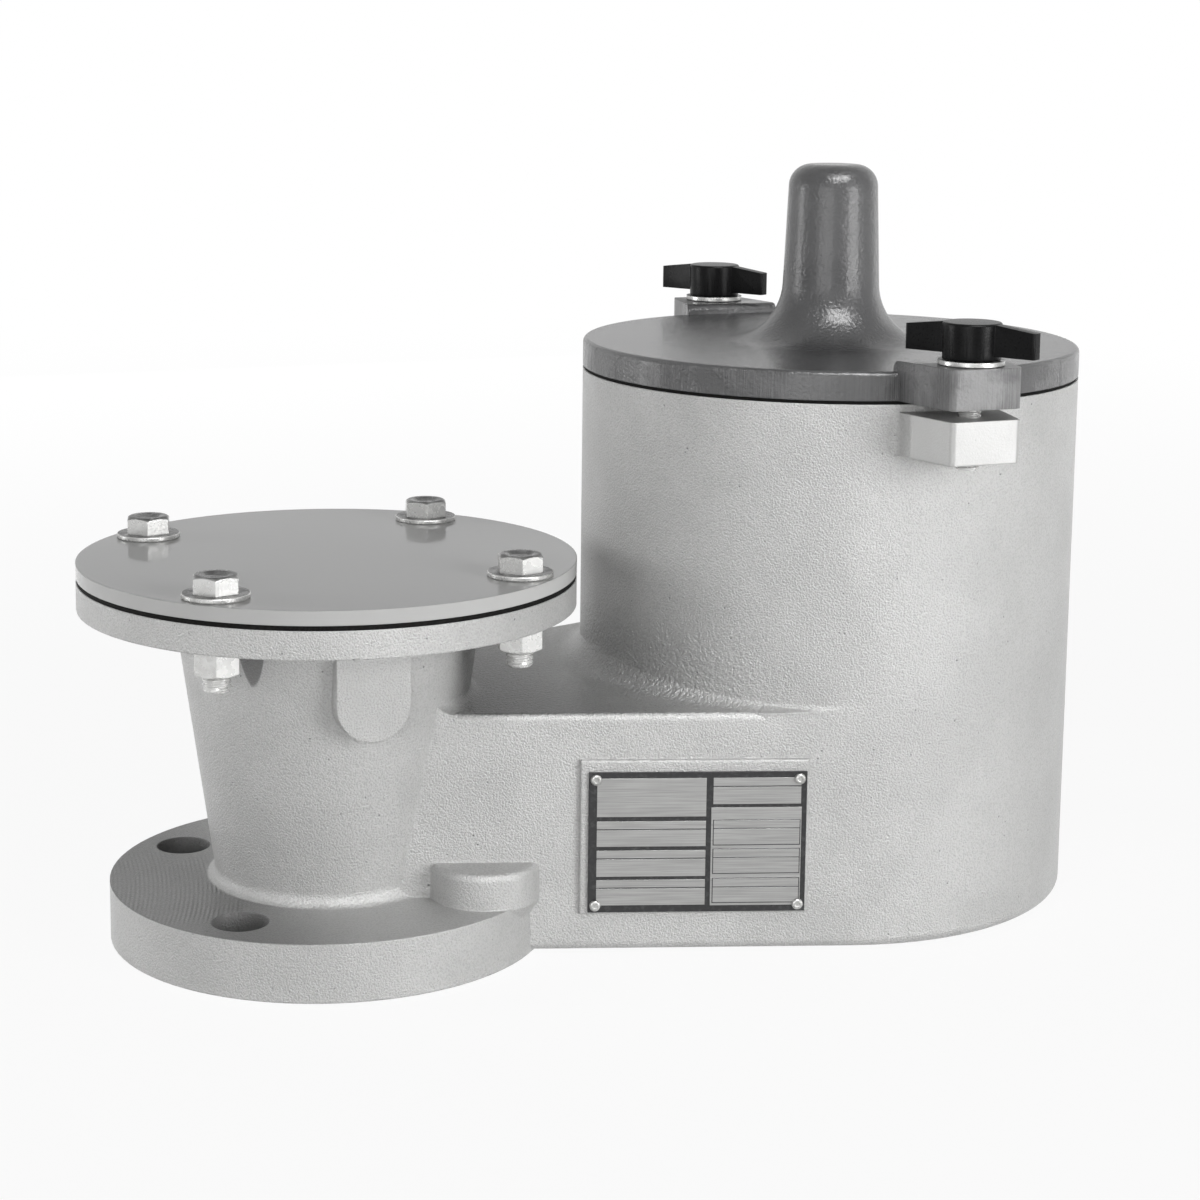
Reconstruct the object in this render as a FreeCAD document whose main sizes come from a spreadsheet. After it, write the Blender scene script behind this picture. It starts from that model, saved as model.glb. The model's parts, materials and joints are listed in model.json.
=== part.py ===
"""Tank breather valve, two inch, weight loaded for pressure and spring loaded for vacuum.

The origin is the middle of the tank flange's lower face. +X runs along the casting from the
neck to the valve chamber, +Z is up, and the nameplate is on the -Y side. All lengths are
millimetres. The tank's vapour rises through the neck, turns into the channel and comes up
under the pallets in the middle of the chamber. The chamber is open to the air through the
vent port below.
"""
import FreeCAD, Part
import math
import os
import re

import Sketcher

Vector = FreeCAD.Vector

SIZES = [
    ("tank_flange_radius", 76.2, "two inch class 150 flange"),
    ("tank_flange_thickness", 20.0, "tank flange"),
    ("tank_bolt_circle_radius", 60.325, "two inch class 150 flange"),
    ("tank_hole_radius", 9.525, "clearance hole for a 5/8 bolt"),
    ("tapped_hole_radius", 7.94, "5/8 tapped hole under the channel"),
    ("tapped_hole_depth", 25.0, "5/8 tapped hole"),
    ("tapped_boss_radius", 19.0, "boss round a tapped hole"),
    ("tapped_boss_height", 32.2, "top of the boss above the flange face"),
    ("boss_foot_radius", 15.6, "boss where it stands on the flange rim"),
    ("boss_foot_height", 14.0, "where the boss starts to swell over the rim"),
    ("boss_swell_height", 5.5, "height of the slanted underside of the boss"),
    ("bore_radius", 26.25, "two inch pipe bore"),
    ("bore_flare_height", 32.0, "where the bore has widened to the neck's core"),
    ("neck_base_radius", 39.5, "neck at the top of the tank flange"),
    ("neck_top_radius", 53.3, "neck under the cover flange"),
    ("neck_fillet", 4.0, "neck to flanges"),
    ("casting_wall", 6.5, "wall of the casting"),
    ("cover_flange_radius", 85.7, "flange under the blind cover"),
    ("cover_flange_underside", 116.5, "height above the tank flange face"),
    ("cover_flange_thickness", 9.5, "flange under the blind cover"),
    ("cover_bolt_circle_radius", 73.0, "four bolts through the blind cover"),
    ("cover_hole_radius", 4.6, "clearance hole for a 5/16 bolt"),
    ("flat_width", 25.4, "raised flat on the neck"),
    ("flat_face", 54.6, "raised flat from the neck axis"),
    ("flat_centre_height", 93.0, "middle of the flat's round end"),
    ("axis_spacing", 190.5, "neck axis to chamber axis"),
    ("floor_height", 0.4, "underside of the casting above the flange face"),
    ("channel_end_radius", 31.5, "channel walls are tangent to this circle at the neck"),
    ("channel_top", 84.0, "flat top of the channel"),
    ("channel_edge_radius", 2.5, "rounded upper edge of the channel"),
    ("channel_floor", 8.0, "inside bottom of the channel"),
    ("foot_edge_radius", 3.0, "rounded lower edge of the casting"),
    ("step_distance", 84.0, "where the channel's floor steps down past the tapped holes"),
    ("chamber_cove", 9.0, "large fillet between channel top and chamber, at the neck's side"),
    ("chamber_cove_shift", 8.5, "the large fillet's centre off the chamber axis, so it dies out"),
    ("chamber_root", 2.5, "small fillet all along the foot of the chamber"),
    ("neck_cove", 5.0, "fillet between channel top and neck"),
    ("chamber_radius", 90.5, "outside of the chamber"),
    ("chamber_top", 190.0, "machined rim of the chamber"),
    ("tube_wall", 6.5, "wall of the tube that carries the seat"),
    ("tube_bore_radius", 31.0, "bore of the tube that carries the seat"),
    ("tube_top", 96.0, "top of the seat tube"),
    ("screen_boss_radius", 5.5, "boss for a vent screen screw"),
    ("screen_boss_height", 16.0, "top of the screw boss"),
    ("screen_boss_inset", 4.5, "boss centre inside the chamber wall"),
    ("screen_boss_angle", 78.0, "end bosses on each side of the long axis"),
    ("screen_height", 5.0, "underside of the vent screen"),
    ("screen_thickness", 1.5, "perforated sheet"),
    ("screen_hole_radius", 4.4, "perforation of the vent screen"),
    ("screen_pitch", 12.2, "perforation spacing"),
    ("screen_hole_gap", 0.6, "least metal between a perforation and a screw boss"),
    ("screen_border", 5.2, "plain border of the vent screen"),
    ("screen_clearance", 0.4, "gap round the vent screen"),
    ("screen_screw_radius", 2.0, "vent screen screw"),
    ("screen_screw_length", 8.0, "vent screen screw"),
    ("screen_hole_spare", 1.0, "tapped hole beyond its screw"),
    ("screen_screw_head_radius", 3.8, "vent screen screw"),
    ("screen_screw_head_height", 2.4, "vent screen screw"),
    ("lug_width", 25.4, "lugs of chamber and lid, at their ends"),
    ("lug_root_width", 37.9, "lugs where they leave the chamber wall"),
    ("lug_root_sink", 3.5, "widest place of the lugs inside the wall's outer face"),
    ("lug_root_depth", 8.0, "straight inner part of the chamber lugs"),
    ("lug_root_radius", 4.0, "fillet between lug and chamber wall"),
    ("lug_reach", 115.5, "lug end from the chamber axis"),
    ("lug_height", 14.6, "chamber lug"),
    ("lug_drop", 2.5, "chamber rim down to the top of its lug"),
    ("lug_corner_radius", 2.0, "rounded vertical edges of the lugs"),
    ("screw_edge_distance", 11.5, "lid screw axis in from the lug's end"),
    ("plate_width", 74.5, "nameplate"),
    ("plate_height", 49.4, "nameplate"),
    ("plate_thickness", 0.8, "nameplate"),
    ("plate_distance", 126.0, "nameplate middle along the wall from the neck axis"),
    ("plate_middle", 39.6, "nameplate middle above the flange face"),
    ("plate_pad_margin", 0.9, "raised pad below the nameplate and beyond it at the chamber"),
    ("plate_pad_side", 2.9, "raised pad beyond the nameplate at the neck"),
    ("plate_pad_over", 4.0, "raised pad above the nameplate"),
    ("plate_pad_edge", 0.8, "rounded edge of the raised pad"),
    ("plate_pad_height", 1.6, "raised pad proud of the wall"),
    ("plate_pad_root", 2.0, "raised pad down into the wall"),
    ("rivet_inset", 2.5, "drive screw in from the plate's edges"),
    ("rivet_radius", 1.4, "drive screw shank"),
    ("rivet_length", 6.0, "drive screw shank"),
    ("rivet_hole_spare", 1.0, "rivet hole beyond its drive screw"),
    ("rivet_head_radius", 1.9, "drive screw head"),
    ("rivet_head_height", 1.2, "drive screw head"),
    ("rivet_head_slope", 0.9, "slanted rim of the drive screw's head"),
    ("gasket_thickness", 1.7, "gasket under the blind cover"),
    ("gasket_inset", 0.3, "gasket edge inside the flange edge"),
    ("cover_thickness", 4.8, "blind cover"),
    ("washer_radius", 11.1, "flat washer"),
    ("washer_thickness", 1.6, "flat washer"),
    ("washer_bore_radius", 4.4, "flat washer"),
    ("bolt_radius", 3.93, "5/16 thread"),
    ("hex_flats", 12.7, "bolt heads and nuts across the flats"),
    ("head_height", 5.4, "bolt head"),
    ("nut_height", 6.8, "hexagon nut"),
    ("hex_chamfer", 0.9, "crown chamfer of heads and nuts"),
    ("bolt_overhang", 4.8, "bolt end below its nut"),
    ("tip_chamfer", 0.8, "chamfered end of bolts and lid screws"),
    ("thread_clearance", 0.06, "between a thread and its nut or tapped hole"),
    ("lid_gasket_thickness", 0.9, "gasket on the chamber rim"),
    ("lid_gasket_width", 5.0, "gasket on the chamber rim"),
    ("lid_gasket_inset", 0.6, "gasket edge inside the chamber's edge"),
    ("seating_gap", 0.3, "between parts that come apart or lift"),
    ("lid_rim_height", 9.9, "edge of the lid"),
    ("lid_skin", 5.5, "web of the lid"),
    ("lid_edge_radius", 1.8, "rounded upper edge of the lid"),
    ("spigot_depth", 4.0, "locating ring under the lid"),
    ("spigot_width", 3.0, "locating ring under the lid"),
    ("spigot_clearance", 0.4, "locating ring in the chamber"),
    ("post_height", 64.0, "guide post above the lid's flat"),
    ("post_foot_radius", 18.4, "guide post at its foot"),
    ("post_top_radius", 15.9, "guide post at its top"),
    ("post_corner_radius", 8.0, "rounded top of the guide post"),
    ("post_flare", 21.0, "fillet between guide post and lid"),
    ("post_roof", 7.0, "metal over the guide bore"),
    ("post_bore_radius", 13.65, "bore of the guide post"),
    ("post_collar_radius", 21.0, "collar under the lid round the guide bore"),
    ("lid_lug_rise", 3.7, "lid lug above the lid's flat"),
    ("lid_lug_inset", 5.0, "where the lid lug begins, inside the lid's edge"),
    ("lid_lug_ramp", 3.2, "rounded inner end of the lid lug"),
    ("lug_hole_clearance", 0.5, "lid lug hole round its screw"),
    ("guide_bush_length", 24.0, "guide bush in the post"),
    ("guide_bush_flange", 2.0, "guide bush flange"),
    ("guide_bush_inset", 2.0, "guide bush flange inside the collar's edge"),
    ("press_clearance", 0.05, "between a bush or ring and its bore"),
    ("running_clearance", 0.08, "between a sliding stem and its guide"),
    ("knob_hub_radius", 9.9, "wing knob"),
    ("knob_hub_height", 12.2, "wing knob"),
    ("knob_hub_taper", 0.2, "wing knob hub, smaller at the bottom"),
    ("knob_span", 48.0, "wing tip to wing tip"),
    ("knob_wing_height", 10.6, "wing at the hub"),
    ("knob_tip_height", 8.6, "wing at its tip"),
    ("knob_wing_width", 4.6, "wing"),
    ("knob_wing_lift", 1.5, "wing above the foot of the hub"),
    ("knob_wing_root", 2.0, "wing's inner end inside the hub"),
    ("knob_edge_radius", 0.8, "knob edges"),
    ("knob_socket_depth", 9.0, "screw in the knob"),
    ("knob_angle", -58.0, "wings as tightened, from +X"),
    ("knob_washer_thickness", 1.5, "washer under the knob"),
    ("screw_overhang", 3.3, "lid screw end below the chamber lug"),
    ("seat_bore_radius", 28.0, "seat ring"),
    ("seat_spigot_depth", 7.0, "seat ring in the tube"),
    ("seat_flange_height", 3.0, "seat ring on the tube"),
    ("seat_lip_radius", 33.0, "middle of the raised seat"),
    ("seat_lip_width", 2.0, "raised seat"),
    ("seat_lip_height", 2.0, "raised seat"),
    ("seat_flange_inset", 0.5, "seat ring inside the tube's edge"),
    ("pallet_radius", 40.0, "pressure pallet"),
    ("pallet_thickness", 4.0, "pressure pallet"),
    ("pallet_collar_radius", 23.4, "collar that centres the weights"),
    ("pallet_collar_wall", 1.6, "collar that centres the weights"),
    ("pallet_collar_rim", 1.0, "collar above the clip's groove"),
    ("port_count", 6, "air ports through the pressure pallet"),
    ("port_radius", 4.6, "air ports through the pressure pallet"),
    ("port_circle_radius", 16.2, "air ports through the pressure pallet"),
    ("seal_thickness", 1.5, "soft seal under the pressure pallet"),
    ("seal_bore_radius", 22.0, "soft seal under the pressure pallet"),
    ("seal_inset", 0.8, "seal edge inside the pallet edge"),
    ("weight_count", 4, "loading weights"),
    ("weight_thickness", 5.0, "loading weight"),
    ("weight_radius", 38.0, "loading weight"),
    ("weight_clearance", 0.15, "loading weight round the collar"),
    ("clip_thickness", 1.2, "clip on the collar above the weights"),
    ("clip_radius", 27.5, "clip on the collar above the weights"),
    ("clip_grip", 0.7, "depth of the clip's groove in the collar"),
    ("guide_tube_radius", 11.0, "guide tube of the pressure pallet"),
    ("guide_tube_wall", 1.5, "guide tube of the pressure pallet"),
    ("guide_tube_length", 118.0, "guide tube of the pressure pallet"),
    ("hub_radius", 8.2, "hub of the pressure pallet"),
    ("hub_drop", 3.4, "hub below the pallet"),
    ("hub_rise", 4.0, "hub above the pallet, where the vacuum spring stands"),
    ("stem_radius", 3.0, "stem of the vacuum pallet"),
    ("stem_length", 78.0, "stem above the vacuum pallet"),
    ("stem_tail", 2.0, "stem below its lower nut"),
    ("stem_chamfer", 0.5, "chamfered ends of the stem"),
    ("vacuum_radius", 27.0, "vacuum pallet"),
    ("vacuum_thickness", 3.0, "vacuum pallet"),
    ("vacuum_lip_radius", 24.6, "raised lip of the vacuum pallet"),
    ("vacuum_lip_width", 1.6, "raised lip of the vacuum pallet"),
    ("vacuum_lip_height", 1.6, "raised lip of the vacuum pallet"),
    ("lock_nut_flats", 8.0, "nuts on the vacuum stem"),
    ("lock_nut_height", 4.0, "nuts on the vacuum stem"),
    ("spring_length", 44.0, "vacuum spring as fitted"),
    ("spring_radius", 6.0, "vacuum spring, middle of the wire"),
    ("spring_wire_radius", 0.75, "vacuum spring"),
    ("spring_turns", 6, "vacuum spring"),
    ("spring_cup_radius", 8.4, "cup on top of the vacuum spring"),
    ("spring_cup_thickness", 2.0, "cup on top of the vacuum spring"),
    ("overrun", 1.0, "cutting tools run this far past the face that they open"),
]

NAMES = {name for name, size, use in SIZES}

doc = FreeCAD.newDocument("breather_valve")
sheet = doc.addObject("Spreadsheet::Sheet", "Sizes")
for row, (name, size, use) in enumerate(SIZES, start=1):
    sheet.set(f"A{row}", use)
    sheet.set(f"B{row}", str(size))
    sheet.setAlias(f"B{row}", name)
doc.recompute()

nodes = []


def tied(text):
    """The formula with each size name turned into a reference to its cell."""
    def refer(found):
        word = found.group()
        return "Sizes." + word if word in NAMES else word
    return re.sub(r"[a-z][a-z_]+", refer, text)


def number(text):
    """The value of a formula in size names."""
    result = sheet.evalExpression(text)
    return float(getattr(result, "Value", result))


def bind(target, path, text):
    """Tie one property of an object to a formula in size names."""
    target.setExpression(path, tied(text))


def place(target, x, y, z):
    """Tie an object's position to three formulas."""
    for axis, text in zip("xyz", (x, y, z)):
        bind(target, f"Placement.Base.{axis}", f"({text}) * 1 mm")


def node(target, label):
    """Name a finished sub-part and keep it for export."""
    target.Label = label
    nodes.append(target)
    return target


def outline(sketch, points):
    """Draw a closed polygon whose corners are tied to formulas."""
    first = sketch.GeometryCount
    corners = [Vector(number(x), number(y), 0) for x, y in points]
    count = len(corners)
    for index, corner in enumerate(corners):
        following = corners[(index + 1) % count]
        sketch.addGeometry(Part.LineSegment(corner, following), False)
    for index in range(count):
        side = first + index
        after = first + (index + 1) % count
        sketch.addConstraint(Sketcher.Constraint("Coincident", side, 2, after, 1))
    for index, (x, y) in enumerate(points):
        hold_point(sketch, first + index, 1, x, y)


def hold_point(sketch, geometry, point, x, y):
    """Tie one point of a sketch to its two coordinates."""
    for kind, text in (("DistanceX", x), ("DistanceY", y)):
        held = sketch.addConstraint(Sketcher.Constraint(kind, -1, 1, geometry, point, number(text)))
        bind(sketch, f"Constraints[{held}]", f"({text}) * 1 mm")


def hold_radius(sketch, geometry, radius):
    """Tie the radius of a circle or arc to a formula."""
    held = sketch.addConstraint(Sketcher.Constraint("Radius", geometry, number(radius)))
    bind(sketch, f"Constraints[{held}]", f"({radius}) * 1 mm")


def circle(sketch, x, y, radius):
    """Draw a circle tied to its centre and radius."""
    centre = Vector(number(x), number(y), 0)
    added = sketch.addGeometry(Part.Circle(centre, Vector(0, 0, 1), number(radius)), False)
    hold_point(sketch, added, 3, x, y)
    hold_radius(sketch, added, radius)


def arc_between(centre, radius, start, end):
    """An arc of a circle between two angles in degrees."""
    round_line = Part.Circle(Vector(centre, 0, 0), Vector(0, 0, 1), radius)
    return Part.ArcOfCircle(round_line, math.radians(start), math.radians(end))


def teardrop(sketch, small, large, distance):
    """Draw the outline round a small circle at the origin and a large one on +X."""
    small_size, large_size, gap = number(small), number(large), number(distance)
    lean = math.degrees(math.asin((large_size - small_size) / gap))
    upper, lower = 90 + lean, 270 - lean
    arc_small = sketch.addGeometry(arc_between(0, small_size, upper, lower), False)
    arc_large = sketch.addGeometry(arc_between(gap, large_size, lower - 360, upper), False)

    def on_circle(centre, radius, angle):
        turned_to = math.radians(angle)
        return Vector(centre + radius * math.cos(turned_to), radius * math.sin(turned_to), 0)

    walls = []
    for angle in (lower, upper):
        wall = Part.LineSegment(on_circle(0, small_size, angle), on_circle(gap, large_size, angle))
        walls.append(sketch.addGeometry(wall, False))
    joints = (
        (arc_small, 2, walls[0], 1),
        (walls[0], 2, arc_large, 1),
        (arc_large, 2, walls[1], 2),
        (walls[1], 1, arc_small, 1),
    )
    for joint in joints:
        sketch.addConstraint(Sketcher.Constraint("Tangent", *joint))
    hold_point(sketch, arc_small, 3, "0", "0")
    hold_point(sketch, arc_large, 3, distance, "0")
    hold_radius(sketch, arc_small, small)
    hold_radius(sketch, arc_large, large)


def free_sketch(name, height="0", upright=False):
    """A sketch in a level plane at a height, or in the upright XZ plane."""
    sketch = doc.addObject("Sketcher::SketchObject", name)
    if upright:
        sketch.Placement.Rotation = FreeCAD.Rotation(Vector(1, 0, 0), 90)
    else:
        bind(sketch, "Placement.Base.z", f"({height}) * 1 mm")
    return sketch


def prism(name, sketch, length):
    """Extrude a level sketch upwards."""
    solid = doc.addObject("Part::Extrusion", name)
    solid.Base = sketch
    solid.DirMode = "Custom"
    solid.Dir = Vector(0, 0, 1)
    solid.Solid = True
    bind(solid, "LengthFwd", f"({length}) * 1 mm")
    return solid


def spun(name, points, x="0", y="0"):
    """Revolve an upright profile of radius and height about a vertical axis."""
    sketch = free_sketch(name + "_profile", upright=True)
    outline(sketch, points)
    solid = doc.addObject("Part::Revolution", name)
    solid.Source = sketch
    solid.Axis = Vector(0, 0, 1)
    solid.Angle = 360
    solid.Solid = True
    place(solid, x, y, "0")
    return solid


def rod(name, radius, low, high, x="0", y="0"):
    """A vertical cylinder between two heights."""
    solid = doc.addObject("Part::Cylinder", name)
    bind(solid, "Radius", f"({radius}) * 1 mm")
    bind(solid, "Height", f"(({high}) - ({low})) * 1 mm")
    place(solid, x, y, low)
    return solid


def block(name, x_range, y_range, z_range):
    """A box between two limits on each axis."""
    solid = doc.addObject("Part::Box", name)
    for side, (low, high) in zip(("Length", "Width", "Height"), (x_range, y_range, z_range)):
        bind(solid, side, f"(({high}) - ({low})) * 1 mm")
    place(solid, x_range[0], y_range[0], z_range[0])
    return solid


def joined(name, *shapes):
    """Fuse several solids into one."""
    solid = doc.addObject("Part::MultiFuse", name)
    solid.Shapes = list(shapes)
    solid.Refine = True
    return solid


def cut(name, base, tool):
    """Take one solid away from another."""
    solid = doc.addObject("Part::Cut", name)
    solid.Base = base
    solid.Tool = tool
    solid.Refine = True
    return solid


def shared(name, first, second):
    """Keep what two solids have in common."""
    solid = doc.addObject("Part::Common", name)
    solid.Base = first
    solid.Tool = second
    solid.Refine = True
    return solid


def rounded(name, base, radius, picked):
    """Round the edges of a solid that the given test picks."""
    doc.recompute()
    size = number(radius)
    chosen = [index for index, edge in enumerate(base.Shape.Edges, start=1) if picked(edge)]
    solid = doc.addObject("Part::Fillet", name)
    solid.Base = base
    solid.Edges = [(index, size, size) for index in chosen]
    return solid


def level_edge(height):
    """A test for edges that lie at one height."""
    level = number(height)

    def picked(edge):
        box = edge.BoundBox
        return abs(box.ZMin - level) < CLOSE and abs(box.ZMax - level) < CLOSE
    return picked


def ring_edge(height, radius):
    """A test for round edges of one radius at one height."""
    at_height = level_edge(height)
    size = number(radius)

    def picked(edge):
        return at_height(edge) and abs(getattr(edge.Curve, "Radius", 0) - size) < CLOSE
    return picked


def new_body(label, x="0", y="0", z="0"):
    """An empty body at a position tied to the sizes."""
    body = node(doc.addObject("PartDesign::Body", label), label)
    place(body, x, y, z)
    return body


def body_sketch(body, name, role="XY_Plane", height="0"):
    """A sketch on one of the body's own origin planes, raised by a height."""
    sketch = body.newObject("Sketcher::SketchObject", name)
    plane = [feature for feature in body.Origin.OriginFeatures if feature.Role == role][0]
    sketch.AttachmentSupport = [(plane, "")]
    sketch.MapMode = "FlatFace"
    bind(sketch, "AttachmentOffset.Base.z", f"({height}) * 1 mm")
    return sketch


def revolve(body, name, points):
    """Revolve a profile of radius and height about the body's own axis."""
    sketch = body_sketch(body, name + "_profile", "XZ_Plane")
    outline(sketch, points)
    feature = body.newObject("PartDesign::Revolution", name)
    feature.Profile = sketch
    feature.ReferenceAxis = (sketch, ["V_Axis"])
    feature.Angle = 360
    return feature


def pad(body, name, sketch, length, midplane=False):
    """Pad a sketch of a body by a length."""
    feature = body.newObject("PartDesign::Pad", name)
    feature.Profile = sketch
    feature.Midplane = midplane
    bind(feature, "Length", f"({length}) * 1 mm")
    return feature


def pocket(body, name, sketch, length, midplane=False):
    """Cut a sketch of a body through the solid above it, by a length."""
    feature = body.newObject("PartDesign::Pocket", name)
    feature.Profile = sketch
    feature.Midplane = midplane
    feature.Reversed = not midplane
    bind(feature, "Length", f"({length}) * 1 mm")
    return feature


def soften(body, name, radius, picked):
    """Round the picked edges of a body's present shape."""
    doc.recompute()
    base = body.Tip
    chosen = [f"Edge{index}" for index, edge in enumerate(base.Shape.Edges, start=1) if picked(edge)]
    feature = body.newObject("PartDesign::Fillet", name)
    feature.Base = (base, chosen)
    bind(feature, "Radius", f"({radius}) * 1 mm")
    return feature


def turned(label, points, x="0", y="0", z="0"):
    """A turned piece: one revolved profile in a body of its own."""
    body = new_body(label, x, y, z)
    revolve(body, label + "_turning", points)
    return body


def tube_profile(inner, outer, low, high):
    """The four corners of a ring's section."""
    return [(inner, low), (outer, low), (outer, high), (inner, high)]


def hexagon(flats):
    """The corners of a hexagon of a given size across its flats."""
    reach = f"({flats}) / sqrt(3)"
    return [(f"{reach} * cos({60 * turn})", f"{reach} * sin({60 * turn})") for turn in range(6)]


def compound(label, pieces):
    """One sub-part made of several like solids."""
    group = doc.addObject("Part::Feature", label)
    group.Shape = Part.makeCompound(pieces)
    return node(group, label)


def spread(shape, points):
    """Copies of a shape moved to each of the points."""
    return [shape.translated(Vector(*point)) for point in points]


def polar_points(radius, angles, x=0.0, height=0.0):
    """Points round a vertical axis at the given angles in degrees."""
    found = []
    for angle in angles:
        turned_to = math.radians(angle)
        found.append((x + radius * math.cos(turned_to), radius * math.sin(turned_to), height))
    return found


DIAGONALS = (45, 135, 225, 315)
CLOSE = 0.01

# Heights that several pieces share.
COVER_FLANGE_TOP = "cover_flange_underside + cover_flange_thickness"
COVER_UNDERSIDE = f"{COVER_FLANGE_TOP} + gasket_thickness"
COVER_TOP = f"{COVER_UNDERSIDE} + cover_thickness"
LID_UNDERSIDE = "chamber_top + lid_gasket_thickness + seating_gap"
LID_TOP = f"{LID_UNDERSIDE} + lid_rim_height"
LID_LUG_TOP = f"{LID_TOP} + lid_lug_rise"
LUG_TOP = "chamber_top - lug_drop"
LUG_UNDERSIDE = f"{LUG_TOP} - lug_height"
SEAT_TOP = "tube_top + seat_flange_height + seat_lip_height"
SEAL_UNDERSIDE = f"{SEAT_TOP} + seating_gap"
PALLET_UNDERSIDE = f"{SEAL_UNDERSIDE} + seal_thickness"
PALLET_TOP = f"{PALLET_UNDERSIDE} + pallet_thickness"
CHAMBER_BORE = "chamber_radius - casting_wall"
TUBE_RADIUS = "tube_bore_radius + tube_wall"
SCREW_REACH = "(lug_reach - screw_edge_distance)"
LUG_ROOT = "(chamber_radius - lug_root_sink)"


def wall_lean():
    """The angle between a channel wall and the long axis, in degrees."""
    rise = number("chamber_radius - channel_end_radius")
    return math.degrees(math.asin(rise / number("axis_spacing")))


def on_front_wall(along, height, proud):
    """The placement of a plate on the front wall: x along it, y up, z outwards."""
    lean = math.radians(wall_lean())
    run = Vector(math.cos(lean), -math.sin(lean), 0)
    outwards = Vector(-math.sin(lean), -math.cos(lean), 0)
    spot = run * along + outwards * (number("channel_end_radius") + proud)
    spot.z = height
    turn = FreeCAD.Rotation(run, Vector(0, 0, 1), outwards, "ZXY")
    return FreeCAD.Placement(spot, turn)


def neck_pattern():
    """Tank flange, tapered neck and cover flange, as one turned pattern."""
    flange_top = "tank_flange_thickness"
    body = spun("neck_turning", [
        ("0", "0"),
        ("tank_flange_radius", "0"),
        ("tank_flange_radius", flange_top),
        ("neck_base_radius", flange_top),
        ("neck_top_radius", "cover_flange_underside"),
        ("cover_flange_radius", "cover_flange_underside"),
        ("cover_flange_radius", COVER_FLANGE_TOP),
        ("0", COVER_FLANGE_TOP),
    ])
    at_foot = ring_edge(flange_top, "neck_base_radius")
    at_top = ring_edge("cover_flange_underside", "neck_top_radius")
    return rounded("neck_pattern", body, "neck_fillet", lambda edge: at_foot(edge) or at_top(edge))


def channel_pattern():
    """The channel: a teardrop in plan, with flat top and rounded edges."""
    plan = free_sketch("channel_plan", "floor_height")
    teardrop(plan, "channel_end_radius", "chamber_radius", "axis_spacing")
    body = prism("channel_block", plan, "channel_top - floor_height")
    topped = rounded("channel_topped", body, "channel_edge_radius", level_edge("channel_top"))
    return rounded("channel_pattern", topped, "foot_edge_radius", level_edge("floor_height"))


def cove(name, x, radius, size):
    """The fillet round an upright form where it stands on the channel's flat top."""
    sketch = free_sketch(name + "_profile", upright=True)
    start, reach = number(radius), number(size)
    level = number("channel_top")
    sink = reach / 2
    points = [
        Vector(start - sink, level - sink, 0),
        Vector(start + reach, level - sink, 0),
        Vector(start + reach, level, 0),
        Vector(start, level + reach, 0),
        Vector(start - sink, level + reach, 0),
    ]
    middle = Part.Circle(Vector(start + reach, level + reach, 0), Vector(0, 0, 1), reach)
    hollow = Part.ArcOfCircle(middle, math.pi, 1.5 * math.pi)
    order = [(0, 1), (1, 2), None, (3, 4), (4, 0)]
    for pair in order:
        if pair is None:
            sketch.addGeometry(hollow, False)
        else:
            sketch.addGeometry(Part.LineSegment(points[pair[0]], points[pair[1]]), False)
    ring = doc.addObject("Part::Revolution", name + "_ring")
    ring.Source = sketch
    ring.Axis = Vector(0, 0, 1)
    ring.Angle = 360
    ring.Solid = True
    place(ring, x, "0", "0")
    plan = free_sketch(name + "_plan", f"channel_top - ({size})")
    teardrop(plan, "channel_end_radius", "chamber_radius", "axis_spacing")
    return shared(name, ring, prism(name + "_limit", plan, f"3 * ({size})"))


def boss_pattern(name, side):
    """The boss over a tapped hole, swelling out over the rim of the tank flange."""
    shoulder = "boss_foot_height + boss_swell_height"
    spot = f"tank_bolt_circle_radius * cos({side})"
    across = f"tank_bolt_circle_radius * sin({side})"
    body = spun(name + "_turning", [
        ("0", "0"),
        ("boss_foot_radius", "0"),
        ("boss_foot_radius", "boss_foot_height"),
        ("tapped_boss_radius", shoulder),
        ("tapped_boss_radius", "tapped_boss_height"),
        ("0", "tapped_boss_height"),
    ], spot, across)
    return rounded(name, body, "channel_edge_radius", level_edge("tapped_boss_height"))


def flat_pattern():
    """The raised flat on the front of the neck, with its round lower end."""
    half = "flat_width / 2"
    slab = block("flat_slab", (f"-{half}", half), ("-flat_face", "-neck_base_radius"),
                 ("flat_centre_height", "cover_flange_underside + overrun"))
    end = doc.addObject("Part::Cylinder", "flat_end")
    end.Placement.Rotation = FreeCAD.Rotation(Vector(1, 0, 0), -90)
    bind(end, "Radius", "(flat_width / 2) * 1 mm")
    bind(end, "Height", "(flat_face - neck_base_radius) * 1 mm")
    place(end, "0", "-flat_face", "flat_centre_height")
    return joined("flat_pattern", slab, end)


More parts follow.
